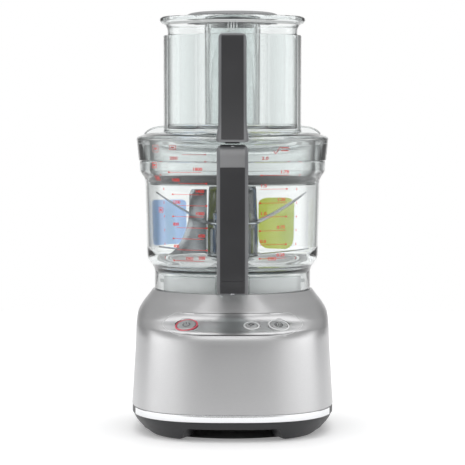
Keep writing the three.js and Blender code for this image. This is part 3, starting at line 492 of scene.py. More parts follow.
def base_section(height):
    """Half width, front, back and corner power of the base at a height."""
    height = min(max(height, HEIGHTS[0]), HEIGHTS[-1])
    i = next(k for k in range(len(HEIGHTS) - 1) if height <= HEIGHTS[k + 1])
    width = HEIGHTS[i + 1] - HEIGHTS[i]
    t = (height - HEIGHTS[i]) / width
    shares = []
    for values, slope in CURVES:
        shares.append(
            values[i] * (1 + 2 * t) * (1 - t) ** 2
            + values[i + 1] * t * t * (3 - 2 * t)
            + width * slope[i] * t * (1 - t) ** 2
            + width * slope[i + 1] * t * t * (t - 1)
        )
    reach = (HOUSING_HIGH.x, -HOUSING_LOW.y, HOUSING_HIGH.y)
    sides = [DECK_RADIUS + (r - DECK_RADIUS) * share for r, share in zip(reach, shares)]
    return (*sides, 2 + (CORNER_POWER - 2) * shares[3])


def oval(angle, half_width, half_depth, power):
    across = abs(math.cos(angle) / half_width) ** power
    along = abs(math.sin(angle) / half_depth) ** power
    return (across + along) ** (-1 / power)


def base_radius(angle, height, inset=0.0):
    side, front, back, power = base_section(height)
    depth = front if math.sin(angle) < 0 else back
    return oval(angle, side - inset, depth - inset, power)


def shoulder_point(x, height, lift=0.0):
    """The point of the front of the base at a distance to the right and a height."""
    side, front, _, power = base_section(height)
    return Vector((x, -front * (1 - abs(x / side) ** power) ** (1 / power), height + lift))


PANEL_MIDDLE = 105
PANEL_HALF_LENGTH = 64.5
PANEL_HALF_HEIGHT = 17
PANEL_GAP = 0.15  # between the panel or a ring and the hole round it
PANEL_ROUND_STEPS = 28
SLOPE_STEPS = 160
SLOPE_STEP = 0.1


def slope_table():
    """Heights along the slope at the middle of the shoulder, by distance from the panel."""
    table = {}
    for way in (-1, 1):
        travelled = 0.0
        height = float(PANEL_MIDDLE)
        here = shoulder_point(0, height)
        table[0.0] = height
        for _ in range(SLOPE_STEPS):
            height += way * SLOPE_STEP
            there = shoulder_point(0, height)
            travelled += (there - here).length
            table[way * travelled] = height
            here = there
    return sorted(table.items())


SLOPE = slope_table()


def slope_height(distance):
    return follow(distance, SLOPE)


def bar_outline(grow, steps=PANEL_ROUND_STEPS):
    """The rounded bar of the panel as (across, up the slope) points."""
    radius = PANEL_HALF_HEIGHT + grow
    straight = PANEL_HALF_LENGTH - PANEL_HALF_HEIGHT
    points = []
    for side in (1, -1):
        for i in range(steps + 1):
            angle = -math.pi / 2 + math.pi * i / steps
            across = straight + radius * math.cos(angle)
            points.append((side * across, side * radius * math.sin(angle)))
    return points


def inside(outline, point):
    x, y = point
    hit = False
    for (x0, y0), (x1, y1) in zip(outline, outline[1:] + outline[:1]):
        if (y0 > y) != (y1 > y) and x < (x1 - x0) * (y - y0) / (y1 - y0) + x0:
            hit = not hit
    return hit


def clear_of(spot, rim, distance):
    return min((spot[0] - x) ** 2 + (spot[1] - y) ** 2 for x, y in rim) > distance**2


def flat_net(outer, holes, spots):
    """A flat net of triangles between an outline and its holes, through the spots given."""
    points = []
    edges = []
    for loop in (outer, *holes):
        start = len(points)
        points.extend(loop)
        edges.extend((start + i, start + (i + 1) % len(loop)) for i in range(len(loop)))
    points.extend(spots)
    net = delaunay_2d_cdt([Vector(p) for p in points], edges, [], 0, 1e-5)
    kept = []
    for face in net[2]:
        middle = sum((net[0][i] for i in face), Vector((0, 0))) / len(face)
        if inside(outer, middle) and not any(inside(hole, middle) for hole in holes):
            kept.append(tuple(face))
    return [tuple(p) for p in net[0]], kept


def grid_spots(outer, holes, spacing, keep_off):
    """Points of a grid inside an outline, clear of the outline and its holes."""
    low = [min(p[k] for p in outer) for k in (0, 1)]
    high = [max(p[k] for p in outer) for k in (0, 1)]
    columns = int((high[0] - low[0]) / spacing[0]) + 1
    rows = int((high[1] - low[1]) / spacing[1]) + 1
    rim = [point for loop in (outer, *holes) for point in loop]
    spots = []
    for i in range(columns):
        for j in range(rows):
            spot = (low[0] + (i + 0.5) * spacing[0], low[1] + (j + 0.5) * spacing[1])
            if not inside(outer, spot) or any(inside(hole, spot) for hole in holes):
                continue
            if clear_of(spot, rim, keep_off):
                spots.append(spot)
    return spots


def lipped(flat, faces, surface, depth, seam=None):
    """Maps a flat net to a surface and turns its open edges inwards by a depth.

    Edges on the seam, where the two sides of the net meet again, stay as they are.
    """
    vertices = [at(*surface(p, 0)) for p in flat]
    count = {}
    for face in faces:
        for a, b in zip(face, face[1:] + face[:1]):
            count[frozenset((a, b))] = count.get(frozenset((a, b)), []) + [(a, b)]
    lips = {}
    made = list(faces)
    for found in count.values():
        if len(found) > 1:
            continue
        a, b = found[0]
        if seam is not None and min(abs(flat[a][0]), abs(flat[b][0])) > seam - 0.01:
            continue
        for i in (a, b):
            if i not in lips:
                lips[i] = len(vertices)
                vertices.append(at(*surface(flat[i], -depth)))
        made.append((b, a, lips[a], lips[b]))
    return vertices, made


def button_frame(name):
    """Where a button sits: its middle on the surface, with local z out of the surface."""
    low, high = span(f"{name}_light_ring")
    out = -Vector(JOINTS[f"{name}_press"]["axis"])
    middle = (low + high) / 2 + out
    right = Vector((0, 1, 0)).cross(out).normalized()
    up = out.cross(right)
    matrix = Matrix((right, up, out)).transposed().to_4x4()
    matrix.translation = at(*middle)
    return matrix


BUTTONS = ("power", "pulse", "start")
RING_WIDTH = 1.6
ICON_LINE = 0.75
ICON_TOP = 0.78  # above the button's middle on the shoulder
RING_RADII = {"power": 10.7, "pulse": 7.5, "start": 10.0}


def build_housing():
    """The steel shell, with a hole where the control panel sits."""
    arc = 96.0  # millimetres of flat net for each radian round the shell
    levels = [HOUSING_BOTTOM]
    while levels[-1] < DECK - 0.35:
        fine = levels[-1] > SHOULDER - 8
        levels.append(levels[-1] + (0.65 if fine else 4.5))
    levels[-1] = DECK
    reach = [0.0]
    for low, high in zip(levels, levels[1:]):
        reach.append(reach[-1] + (shoulder_point(0, high) - shoulder_point(0, low)).length)

    reach_by_height = list(zip(levels, reach))
    height_by_reach = list(zip(reach, levels))
    hole = []
    for across, up in bar_outline(PANEL_GAP):
        spot = shoulder_point(across, slope_height(up))
        turn = math.atan2(spot.y, spot.x) + math.pi / 2
        hole.append((arc * turn, follow(spot.z, reach_by_height)))
    columns = 176
    half = math.pi * arc
    across_all = [-half + 2 * half * i / columns for i in range(columns + 1)]
    outer = [(x, 0.0) for x in across_all]
    outer += [(half, d) for d in reach[1:-1]]
    outer += [(-x, reach[-1]) for x in across_all]
    outer += [(-half, d) for d in reversed(reach[1:-1])]
    spots = [(x, d) for x in across_all[1:-1] for d in reach[1:-1]]
    spots = [spot for spot in spots if clear_of(spot, hole, 1.0) and not inside(hole, spot)]
    flat, faces = flat_net(outer, [hole], spots)

    def surface(spot, lift):
        angle = spot[0] / arc - math.pi / 2
        height = follow(spot[1], height_by_reach)
        radius = base_radius(angle, height)
        # The open edges turn in: down past the deck, and straight in round the panel.
        drop = lift * min(1, max(0, (height - SHOULDER) / 12))
        radius += lift if height < SHOULDER + 2 else lift * 0.5
        return radius * math.cos(angle), radius * math.sin(angle), height + drop

    shell = lipped(flat, faces, surface, 2.2, half)
    opening = span("bowl_seat")[1].x - SEAT_FLANGE + 0.4
    deck = lathe(
        [
            (DECK_RADIUS - 0.02, DECK, 0),
            (DECK_RADIUS - 1.0, DECK + 0.12, 0),
            (opening, DECK + 0.12, 0),
            (opening, DECK - 3, 0),
            (DECK_RADIUS - 1.4, DECK - 2.5, 0),
        ]
    )
    piece("steel_shell", joined(shell, deck), "base", "housing_steel", ["base_housing"], 50)


def build_panel():
    """The strip on the shoulder, with a hole for each button."""
    holes = []
    for name in BUTTONS:
        x = button_frame(name).translation.x / MM
        y = button_frame(name).translation.z / MM
        up = next((d for d, z in SLOPE if z >= y), 0.0)
        holes.append(arc_points(RING_RADII[name] + PANEL_GAP, 0, 360, 48, (x, up))[:-1])
    outline = bar_outline(0)
    flat, faces = flat_net(outline, holes, grid_spots(outline, holes, (2.2, 1.5), 0.9))

    def surface(spot, lift):
        return shoulder_point(spot[0], slope_height(spot[1]), 0.05 + lift)

    geometry = lipped(flat, faces, surface, 1.6)
    piece("panel_strip", geometry, "base", "housing_steel", ["control_panel"], 50)
    # A thin white bead along the gap round the panel is a painted highlight: it stands in for the
    # bright line on the panel's rounded edge.
    line = []
    for across, up in bar_outline(PANEL_GAP):
        line.append(shoulder_point(across, slope_height(up), 0.1))
    bead = tube_mesh(line, 0.2, 6, True)
    piece("panel_edge_highlight", bead, "base", "white_light_ring", sharp=80)


def local_lathe(points, matrix, steps=64):
    """A turned solid in a button's own place."""
    outline = rounded(points)
    rings = []
    for j in range(steps):
        across, along = math.cos(TAU * j / steps), math.sin(TAU * j / steps)
        rings.append([matrix @ (Vector((r * across, r * along, z)) * MM) for r, z in outline])
    return loft(rings, points[0][0] != 0, looped=True)


def local_strokes(strokes, matrix, width, low, high):
    """Flat raised lines in a button's own place, each a list of (across, up) points."""
    parts = []
    for stroke in strokes:
        rings = []
        for i, here in enumerate(stroke):
            before = Vector(stroke[max(0, i - 1)])
            after = Vector(stroke[min(len(stroke) - 1, i + 1)])
            along = (after - before).normalized()
            side = Vector((-along.y, along.x)) * width / 2
            left, right = Vector(here) + side, Vector(here) - side
            corners = ((left, high), (right, high), (right, low), (left, low))
            rings.append([matrix @ (Vector((*spot, level)) * MM) for spot, level in corners])
        parts.append(loft(rings, capped=True))
    return joined(*parts)


def arc_points(radius, start, end, steps=20, centre=(0, 0)):
    points = []
    for i in range(steps + 1):
        angle = math.radians(start + (end - start) * i / steps)
        points.append((centre[0] + radius * math.cos(angle), centre[1] + radius * math.sin(angle)))
    return points


ICONS = {
    "power": [arc_points(3.3, 125, 415), [(0, 1.2), (0, 4.4)]],
    "pulse": [arc_points(2.4, 200, 20), [(-1.6, -1.8), (2.4, 1.6)], [(-2.9, 0.6), (-1.2, 2.6)]],
    "start": [
        arc_points(3.6, 100, 260),
        arc_points(3.6, -80, 80),
        [(0, -2.2), (0, 2.2)],
        [(-2, -1.4), (-2, 1.4)],
        [(2, -1.4), (2, 1.4)],
    ],
}


def build_buttons():
    for name in BUTTONS:
        place = button_frame(name)
        outer = RING_RADII[name]
        inner = outer - RING_WIDTH
        ring = local_lathe(
            [(inner, -2.4, 0.2), (outer, -2.4, 0.2), (outer, 0.5, 0.5), (inner, 0.5, 0.5)],
            place,
        )
        slot = "red_light_ring" if name == "power" else "white_light_ring"
        piece(f"{name}_ring", ring, "base", slot, [f"{name}_light_ring"])
        cap_radius = inner - 0.3
        cap = local_lathe(
            [
                (0, -5, 0),
                (cap_radius, -5, 0.3),
                (cap_radius, 0.9, 0.9),
                (cap_radius * 0.75, 0.7, 0.6),
                (0, 0.6, 0),
            ],
            place,
        )
        cap_body = f"{name}_button"
        piece(f"{name}_cap", cap, cap_body, "housing_steel", [cap_body])
        marks = local_strokes(ICONS[name], place, ICON_LINE, 0.3, ICON_TOP)
        piece(f"{name}_icon", marks, cap_body, "dark_plastic", sharp=30, material=ICON)


# ------------------------------------------------------------------ foot of the base

TRIM_LOW, TRIM_HIGH = span("chrome_trim")
COVER_TOP = span("bottom_cover")[1].z
TRIM_HALF_TURN = 58.8  # degrees to each side of the front
FOOT_PAD = 0.7
ARCH_HEIGHT = 11.5
ARCH_HALF = 38
ARCH_RAMP = 8


def smooth_step(value):
    value = min(max(value, 0), 1)
    return value * value * (3 - 2 * value)


def skirt_inset(angle, height):
    """How far the skirt has curled in at a height: a little in front, more at the sides."""
    depth = max(0, (COVER_TOP - 3 - height) / (COVER_TOP - 3 - FOOT_PAD))
    return 0.4 + (5 + 12 * abs(math.cos(angle)) ** 1.4) * depth**2.1


def skirt_bottom(angle):
    """The lower edge of the skirt: up over the arches, down at the four corners."""
    radius = base_radius(angle, HOUSING_BOTTOM, 12)
    x = abs(radius * math.cos(angle))
    y = abs(radius * math.sin(angle))
    along = x if y > x * 1.05 else y
    under_arch = smooth_step((ARCH_HALF + ARCH_RAMP - along) / ARCH_RAMP)
    return FOOT_PAD + (ARCH_HEIGHT - FOOT_PAD) * under_arch


def build_foot():
    trim_low = TRIM_LOW.z

    def skirt(angle):
        forward = math.degrees(math.atan2(math.cos(angle), -math.sin(angle)))
        recess = 2.2 if abs(forward) < TRIM_HALF_TURN + 0.6 else 0.0
        bottom = skirt_bottom(angle)
        rows = [(HOUSING_BOTTOM - 0.4, 0.3 + recess), (trim_low - 0.25, 0.3 + recess)]
        levels = 7
        for i in range(levels + 1):
            height = trim_low - 0.3 - (trim_low - 0.3 - bottom) * i / levels
            rows.append((height, skirt_inset(angle, height)))
        last = rows[-1][1]
        rows += [
            (bottom, last + 1.5),
            (bottom + 0.8, last + 18),
            (13.2, 46),
            (16, 46),
            (17.5, 12),
            (HOUSING_BOTTOM - 0.4, 11),
        ]
        return [(base_radius(angle, HOUSING_BOTTOM, inset), z, 0) for z, inset in rows]

    floor = lathe(
        [(0, 13.5, 0), (58, 13.5, 0), (58, 15.6, 0), (0, 15.6, 0)], closed=False, steps=48
    )
    whole = joined(ring_mesh(skirt, steps=240), floor)
    piece("foot_skirt", whole, "base", "dark_plastic", ["bottom_cover"], 42)

    def band(angle):
        outer = base_radius(angle, HOUSING_BOTTOM, -0.35)
        inner = base_radius(angle, HOUSING_BOTTOM, 1.9)
        return [
            (outer, trim_low, 0.7),
            (outer, TRIM_HIGH.z, 0.5),
            (inner, TRIM_HIGH.z, 0),
            (inner, trim_low, 0),
        ]

    reach = math.radians(TRIM_HALF_TURN)
    middle = -math.pi / 2
    trim = ring_mesh(band, steps=120, arc=(middle - reach, middle + reach))
    piece("front_trim", trim, "base", "chrome", ["chrome_trim"], 40)

    for node in ("front_left", "front_right", "rear_left", "rear_right"):
        low, high = span(f"foot_{node}")
        centre = (low + high) / 2
        place = Matrix.Translation(at(centre.x, centre.y, 0))
        radius = (high.x - low.x) / 2
        pad = local_lathe(
            [
                (0, 0.35, 0),
                (radius - 3, 0.35, 0.4),
                (radius - 2.2, 0, 0.4),
                (radius - 0.4, 0, 0.8),
                (radius, 4, 0.4),
                (0, 4, 0),
            ],
            place,
            48,
        )
        piece(f"rubber_{node}", pad, "base", "rubber", [f"foot_{node}"])


# ------------------------------------------------------------------ seat under the bowl


def build_seat():
    low, high = span("bowl_seat")
    radius = high.x - SEAT_FLANGE
    top = high.z
    shaft = 6.2
    lug_reach = radius + 3.4
    lug_low = DECK + 9
    lug_high = DECK + 12
    body = lathe(
        [
            (shaft, top - 3, 0),
            (radius - 4, top - 3, 0),
            (radius - 3, DECK - 10, 0),
            (radius + SEAT_FLANGE, DECK - 10, 0),
            (radius + SEAT_FLANGE, DECK - 13, 0.5),
            (23, DECK - 13, 0),
            (23, DECK - 15.5, 0),
            (21, DECK - 15.5, 0),
            (21, DECK - 8, 0),
            (radius - 6, DECK - 8, 0),
            (radius - 6, DECK - 6, 0),
            (radius, DECK - 6, 0),
            (radius, top, 2.5),
            (radius - 12, top, 0.4),
            (radius - 13, top - 1.2, 0.4),
            (shaft + 14, top - 1.2, 0.4),
            (shaft + 13, top, 0.4),
            (shaft, top, 0.5),
        ]
    )
    parts = [body]
    for turn in range(4):
        middle = math.pi / 2 * turn
        reach = math.radians(9)
        lug = lathe(
            [
                (radius - 1, lug_low, 0),
                (lug_reach, lug_low, 0.6),
                (lug_reach, lug_high, 0.6),
                (radius - 1, lug_high, 0),
            ],
            steps=12,
            arc=(middle - reach, middle + reach),
        )
        parts.append(lug)
    seat = joined(*parts)
    piece("drive_seat", seat, "base", "smoke_plastic", ["bowl_seat"], material=SEAT_GREY)


# ------------------------------------------------------------------ bowl


LOW_CURVE = bezier(
    (FOOT_RADIUS, FLOOR_UNDER - 2),
    (FOOT_RADIUS, FLOOR_UNDER + 6),
    (BOWL_RADIUS, FLOOR_UNDER + 6),
    (BOWL_RADIUS, FLOOR_UNDER + 17),
    steps=16,
)
HIGH_CURVE = bezier(
    (BOWL_TOP_RADIUS, FLARE_BOTTOM),
    (BOWL_TOP_RADIUS + 1, FLARE_BOTTOM + 8),
    (RIM_RADIUS, FLARE_BOTTOM + 6),
    (RIM_RADIUS, FLARE_BOTTOM + 15),
    steps=14,
)


OUTER_WALL = [
    (z, r) for r, z in ((FOOT_RADIUS, FOOT), *LOW_CURVE, *HIGH_CURVE, (RIM_RADIUS, LEDGE))
]


def outer_wall(height):
    """The bowl's outside radius at a height."""
    return NECK_RADIUS if height > LEDGE else follow(height, OUTER_WALL)


TUBE_RADIUS = 13.5
TUBE_TOP = FLOOR_TOP + 34
BRACKET_HALF = 15.8


def build_bowl():
    wall = BOWL_WALL
    outside = [(r, z, 0) for r, z in LOW_CURVE + HIGH_CURVE]
    profile = [
        (FOOT_RADIUS, FOOT, 0.8),
        *outside,
        (RIM_RADIUS, LEDGE, 0.7),
        (NECK_RADIUS, LEDGE, 0.5),
        (NECK_RADIUS, BOWL_TOP, 0.9),
        (NECK_RADIUS - 2.3, BOWL_TOP, 0.9),
        (NECK_RADIUS - 2.3, FLARE_BOTTOM + 11, 4),
        (BOWL_TOP_RADIUS - wall, FLARE_BOTTOM, 4),
        (BOWL_RADIUS - wall, FLOOR_TOP + 15, 9),
        (BOWL_RADIUS - wall - 4.5, FLOOR_TOP + 4, 7),
        (BOWL_RADIUS - wall - 13, FLOOR_TOP, 5),
        (TUBE_RADIUS, FLOOR_TOP, 2.5),
        (TUBE_RADIUS, TUBE_TOP, 0.8),
        (TUBE_RADIUS - 2.5, TUBE_TOP, 0.8),
        (TUBE_RADIUS - 2.5, FLOOR_UNDER, 0.5),
        (FOOT_RADIUS - wall, FLOOR_UNDER, 2),
        (FOOT_RADIUS - wall, FOOT, 0.8),
    ]
    body = lathe(profile, steps=192)
    piece("clear_bowl", body, "bowl", "clear_plastic", ["bowl"], 60)

    # Clear brackets that hold the grip, moulded against the outside of the wall.
    def bracket(half, low, high, reach, radius_at):
        outline = []
        steps = 10
        for i in range(steps + 1):
            x = -half + 2 * half * i / steps
            outline.append((x, -math.sqrt(radius_at**2 - x * x)))
        outline += [(half, 4 - reach), (half - 4, -reach), (4 - half, -reach), (-half, 4 - reach)]
        return loft([[at(x, y, z) for x, y in outline] for z in (low, high)], capped=True)

    low_reach = FOOT_RADIUS + 15.5
    low = bracket(BRACKET_HALF, FOOT + 0.5, FLOOR_UNDER - 1, low_reach, FOOT_RADIUS + 0.05)
    high = bracket(
        BRACKET_HALF - 4,
        FLARE_BOTTOM + 16,
        LEDGE - 0.5,
        RIM_RADIUS + 4.8,
        RIM_RADIUS + 0.05,
    )
    for name, geometry in (("low_bracket", low), ("high_bracket", high)):
        piece(name, geometry, "bowl", "clear_plastic", bevel=1.2)

    films = (
        ("blue_patch", "blue_film_patch", "blue_film", -1, 7),
        ("lime_patch", "lime_film_patch", "lime_film", 1, 12),
    )
    for name, node, slot, side, corner in films:
        film_low, film_high = span(node)
        inner_x, outer_x = (film_low.x, film_high.x) if side > 0 else (film_high.x, film_low.x)
        ends = sorted((math.atan2(film_high.y, inner_x), math.atan2(film_low.y, outer_x)))

        def sheet(angle, film_low=film_low, film_high=film_high, ends=ends, corner=corner):
            edge = min(angle - ends[0], ends[1] - angle) * BOWL_RADIUS
            past = max(0, corner - edge)
            trim = corner - math.sqrt(max(0, corner**2 - past**2))
            low_z = film_low.z + trim
            high_z = film_high.z - trim * 0.5
            rows = []
            for i in range(11):
                z = low_z + (high_z - low_z) * i / 10
                rows.append((outer_wall(z) + 0.25, z, 0))
            return rows + [(r + 0.35, z, 0) for r, z, _ in reversed(rows)]

        film_mesh = ring_mesh(sheet, steps=48, arc=ends)
        piece(name, film_mesh, "bowl", slot, [node], 40)


# ------------------------------------------------------------------ printed scale

PRINT_OFFSET = 0.06
PRINT_THICK = 0.07
LINE_DROP = 1.6  # from a number's foot down to its line
MARK_BASE = 154.4  # where the scale would read nothing
MARK_PER_LITRE = 51.4


def wrap(vertices, faces):
    """Wraps a flat drawing, x across the front and y up, round the front of the bowl."""
    wrapped = []
    for x, z, out in vertices:
        radius = outer_wall(z) + PRINT_OFFSET + out
        angle = x / BOWL_TOP_RADIUS
        wrapped.append(at(radius * math.sin(angle), -radius * math.cos(angle), z))
    return wrapped, faces


def flat_bar(x0, x1, z0, z1):
    count = max(1, int(abs(x1 - x0) / 2))
    rings = []
    for i in range(count + 1):
        x = x0 + (x1 - x0) * i / count
        rings.append([(x, z0, 0), (x, z1, 0), (x, z1, PRINT_THICK), (x, z0, PRINT_THICK)])
    return wrap(*loft(rings, capped=True))


def flat_text(text, x, z, height, stretch=1.15):
    """Numbers as thin wrapped solids, their lower left corner at x, z."""
    curve = bpy.data.curves.new("numbers", "FONT")
    curve.body = text
    curve.size = height * 1.38
    curve.extrude = PRINT_THICK / 2
    curve.offset = 0.035 * height
    holder = bpy.data.objects.new("numbers", curve)
    scene.collection.objects.link(holder)
    bpy.context.view_layer.update()
    shown = holder.evaluated_get(bpy.context.evaluated_depsgraph_get())
    mesh = bpy.data.meshes.new_from_object(shown)
    vertices = [(x + v.co.x * stretch, z + v.co.y, v.co.z + PRINT_THICK / 2) for v in mesh.vertices]
    faces = [tuple(p.vertices) for p in mesh.polygons]
    bpy.data.objects.remove(holder)
    bpy.data.curves.remove(curve)
    bpy.data.meshes.remove(mesh)
    return wrap(vertices, faces)


def mark_height(litres):
    return MARK_BASE + MARK_PER_LITRE * litres


def build_scale():
    parts = []
    number = 2.9
    line = 0.36
    dot = 0.9
    left, left_end = -61, -24.5
    right, right_end = 26, 54

    def mark_line(start, end, spot, z):
        """A line under a number, with a dot at one of its ends."""
        foot = z - LINE_DROP
        parts.append(flat_bar(start, end, foot - line, foot))
        parts.append(flat_bar(spot - dot, spot + dot, foot - dot, foot + dot * 0.6))

    for step in range(1, 11):
        z = mark_height(0.2 * step)
        text = str(200 * step)
        text_width = 2.8 * len(text)
        if step % 2 == 0:
            parts.append(flat_text(text, left, z, number))
            mark_line(left + text_width - 4, left_end, left_end, z)
        else:
            parts.append(flat_text(text, left_end - text_width, z, number))
            mark_line(left, left_end - 3, left, z)
    for step in range(1, 9):
        z = mark_height(0.25 * step)
        text = f"{0.25 * step:.2f}" if step % 2 else f"{0.25 * step:.1f}"
        text_width = 2.65 * len(text)
        text_left = right_end - text_width if step % 2 else right
        parts.append(flat_text(text, text_left, z, number, 1.35))
        mark_line(right, right_end, right if step % 2 else right_end, z)
    for step in range(1, 9):
        z = mark_height(0.25 * step) - 3
        parts.append(flat_text(str(step), -74, z, 2.0))
        parts.append(flat_text(str(step), 66, z, 2.0))
    top = mark_height(2.0)
    # Plain boxes of the size of a word stand where the real bowl has words.
    for x0, z0, width, height in (
        (left, top + 9.0, 7.6, 4.2),
        (-84.5, top + 6.7, 9, 6.8),
        (-84, top - 8.5, 7, 5.5),
        (-84, top - 20, 7, 4.2),
        (-82, top - 50, 7, 4.5),
        (-46, MARK_BASE + 9.4, 7.5, 2.8),
        (34.5, MARK_BASE + 9.4, 8.5, 2.8),
    ):
        edge = 0.45
        parts.append(flat_bar(x0, x0 + width, z0, z0 + edge))
        parts.append(flat_bar(x0, x0 + width, z0 + height - edge, z0 + height))
        parts.append(flat_bar(x0, x0 + edge * 1.3, z0, z0 + height))
        parts.append(flat_bar(x0 + width - edge * 1.3, x0 + width, z0, z0 + height))
        left_inside, right_inside = x0 + width * 0.25, x0 + width * 0.75
        parts.append(flat_bar(left_inside, right_inside, z0 + height * 0.35, z0 + height * 0.65))
    parts.append(flat_bar(left + 14, left_end, top + 4.4, top + 4.4 + line))
    parts.append(flat_bar(left_end - dot, left_end + dot, top + 4.2, top + 5.2))
    tick = [(37.5, top + 8.2), (39.4, top + 5.2), (44.0, top + 12.0)]
    for ends in zip(tick, tick[1:]):
        rings = [
            [(x - 0.4, z, 0), (x + 0.4, z, 0), (x + 0.4, z, 0.08), (x - 0.4, z, 0.08)] for x, z in ends
        ]
        parts.append(wrap(*loft(rings, capped=True)))
    for row in range(2):
        z = top + 10.4 - 2.6 * row
        parts.append(flat_bar(44.8, 53.5 - row, z, z + 1.0))
    marks = joined(*parts)
    piece(
        "measuring_scale", marks, "bowl", "red_light_ring", sharp=30, weld=False, material=PRINT
    )


# ------------------------------------------------------------------ grips

GRIP_REACH = -GRIP_LOW.y
GRIP_THICK = 19
GRIP_WIDTH = GRIP_HIGH.x - GRIP_LOW.x
GRIP_ENDS = 11
GRIP_BOTTOM = GRIP_LOW.z
GRIP_TOP = GRIP_HIGH.z
GRIP_LOW_TURN = GRIP_BOTTOM + 15
GRIP_HIGH_TURN = GRIP_TOP - 10


def grip_face(height):
    """How far forward the front of the bowl's grip is at a height."""
    lower_bend = GRIP_BOTTOM + 24
    upper_bend = GRIP_TOP - 30
    below = max(0, (lower_bend - height) / (lower_bend - GRIP_BOTTOM))
    above = max(0, (height - upper_bend) / (GRIP_TOP - upper_bend))
    return GRIP_REACH - GRIP_ENDS * (below**2 + above**2)


def crowned(across, half, radius):
    """How far the front of a grip has rounded back at a distance from its middle."""
    past = max(0, abs(across) - (half - radius))
    return radius - math.sqrt(max(0, radius**2 - past**2))


def grip_section(radius, back_radius=2.0, steps=9):
    def section(half, thickness):
        front = []
        for i in range(steps + 1):
            turn = math.pi / 2 * i / steps
            front.append((half - radius + radius * math.sin(turn), radius - radius * math.cos(turn)))
        back = []
        for i in range(5):
            turn = math.pi / 2 * i / 4
            x = half - back_radius + back_radius * math.cos(turn)
            back.append((x, thickness - back_radius + back_radius * math.sin(turn)))
        right = front + back
        return [(-x, d) for x, d in right] + [(x, d) for x, d in reversed(right)]

    return section


def strip_section(width, radius, proud=0.35, depth=2.2, steps=24):
    def section(half, thickness):
        line = []
        for i in range(steps + 1):
            across = -width / 2 + width * i / steps
            line.append((across, crowned(across, half, radius)))
        front = [(x, d - proud) for x, d in line]
        front[0] = (front[0][0], front[0][1] + proud * 0.7)
        front[-1] = (front[-1][0], front[-1][1] + proud * 0.7)
        return front + [(x, d + depth) for x, d in reversed(line)]

    return section


def up_face(face_at, low, high, half, steps=36):
    """Stations up the front of a grip, for a strip that lies in it."""
    stations = []
    for i in range(steps + 1):
        z = low + (high - low) * i / steps
        stations.append(((face_at(z), z), (face_at(z) - 10, z), half))
    return stations


GRIP_ROUND = 4.6
STRIP_WIDTH = 22.4


def build_bowl_grip():
    inner = GRIP_REACH - GRIP_THICK
    low_root = FOOT_RADIUS + 16.3
    high_root = RIM_RADIUS + 5.3
    low_arm = FLOOR_UNDER - 1
    high_arm = FLARE_BOTTOM + 2
    half = GRIP_WIDTH / 2
    outer_path = [(low_root, GRIP_BOTTOM), (inner - 8, GRIP_BOTTOM)]
    inner_path = [(low_root, low_arm), (inner - 15, low_arm)]
    turn_steps = 14
    corner = (grip_face(GRIP_BOTTOM), GRIP_BOTTOM)
    end = (grip_face(GRIP_LOW_TURN), GRIP_LOW_TURN)
    outer_path += bezier((inner - 4, GRIP_BOTTOM), corner, end, steps=turn_steps)
    corner = (inner, low_arm)
    end = (inner, low_arm + 16)
    inner_path += bezier((inner - 14, low_arm), corner, end, steps=turn_steps)
    steps = 40
    for i in range(1, steps):
        z = GRIP_LOW_TURN + (GRIP_HIGH_TURN - GRIP_LOW_TURN) * i / steps
        outer_path.append((grip_face(z), z))
        inner_path.append((inner, low_arm + 16 + (high_arm - 14 - low_arm - 16) * i / steps))
    start = (grip_face(GRIP_HIGH_TURN), GRIP_HIGH_TURN)
    corner = (grip_face(GRIP_TOP), GRIP_TOP)
    outer_path += bezier(start, corner, (inner - 1, GRIP_TOP), steps=turn_steps)
    corner = (inner, high_arm)
    inner_path += bezier((inner, high_arm - 14), corner, (inner - 13, high_arm), steps=turn_steps)
    outer_path.append((high_root, GRIP_TOP))
    inner_path.append((high_root, high_arm))
    stations = [(o, i, half) for o, i in zip(outer_path, inner_path)]
    geometry = sweep_mesh(stations, grip_section(GRIP_ROUND))
    piece("bowl_grip_frame", geometry, "bowl", "grip_edge", ["bowl_handle"], 50)
    pad_bottom = GRIP_TOP - 20
    seam = GRIP_BOTTOM + 14.5
    section = strip_section(STRIP_WIDTH, GRIP_ROUND)
    strips = (
        ("grip_face", seam + 0.2, pad_bottom - 0.15, CHARCOAL, "grip_dark", ["bowl_grip_cover"]),
        ("grip_foot", GRIP_BOTTOM + 2.4, seam - 0.2, CHARCOAL, "grip_dark", []),
        ("grip_thumb_pad", pad_bottom + 0.15, GRIP_TOP - 3.4, PAD_GREY, "grip_edge", ["thumb_pad"]),
    )
    for name, low, high, material, slot, nodes in strips:
        geometry = sweep_mesh(up_face(grip_front, low, high, half), section)
        piece(name, geometry, "bowl", slot, nodes, 50, material=material)


def grip_front(z):
    """The front of the bowl's grip where its ends have rounded over."""
    if z > GRIP_HIGH_TURN:
        return grip_face(z) - 0.5 * (z - GRIP_HIGH_TURN) ** 2 / 10
    if z < GRIP_LOW_TURN:
        return grip_face(z) - 0.42 * (GRIP_LOW_TURN - z) ** 2 / 15
    return grip_face(z)


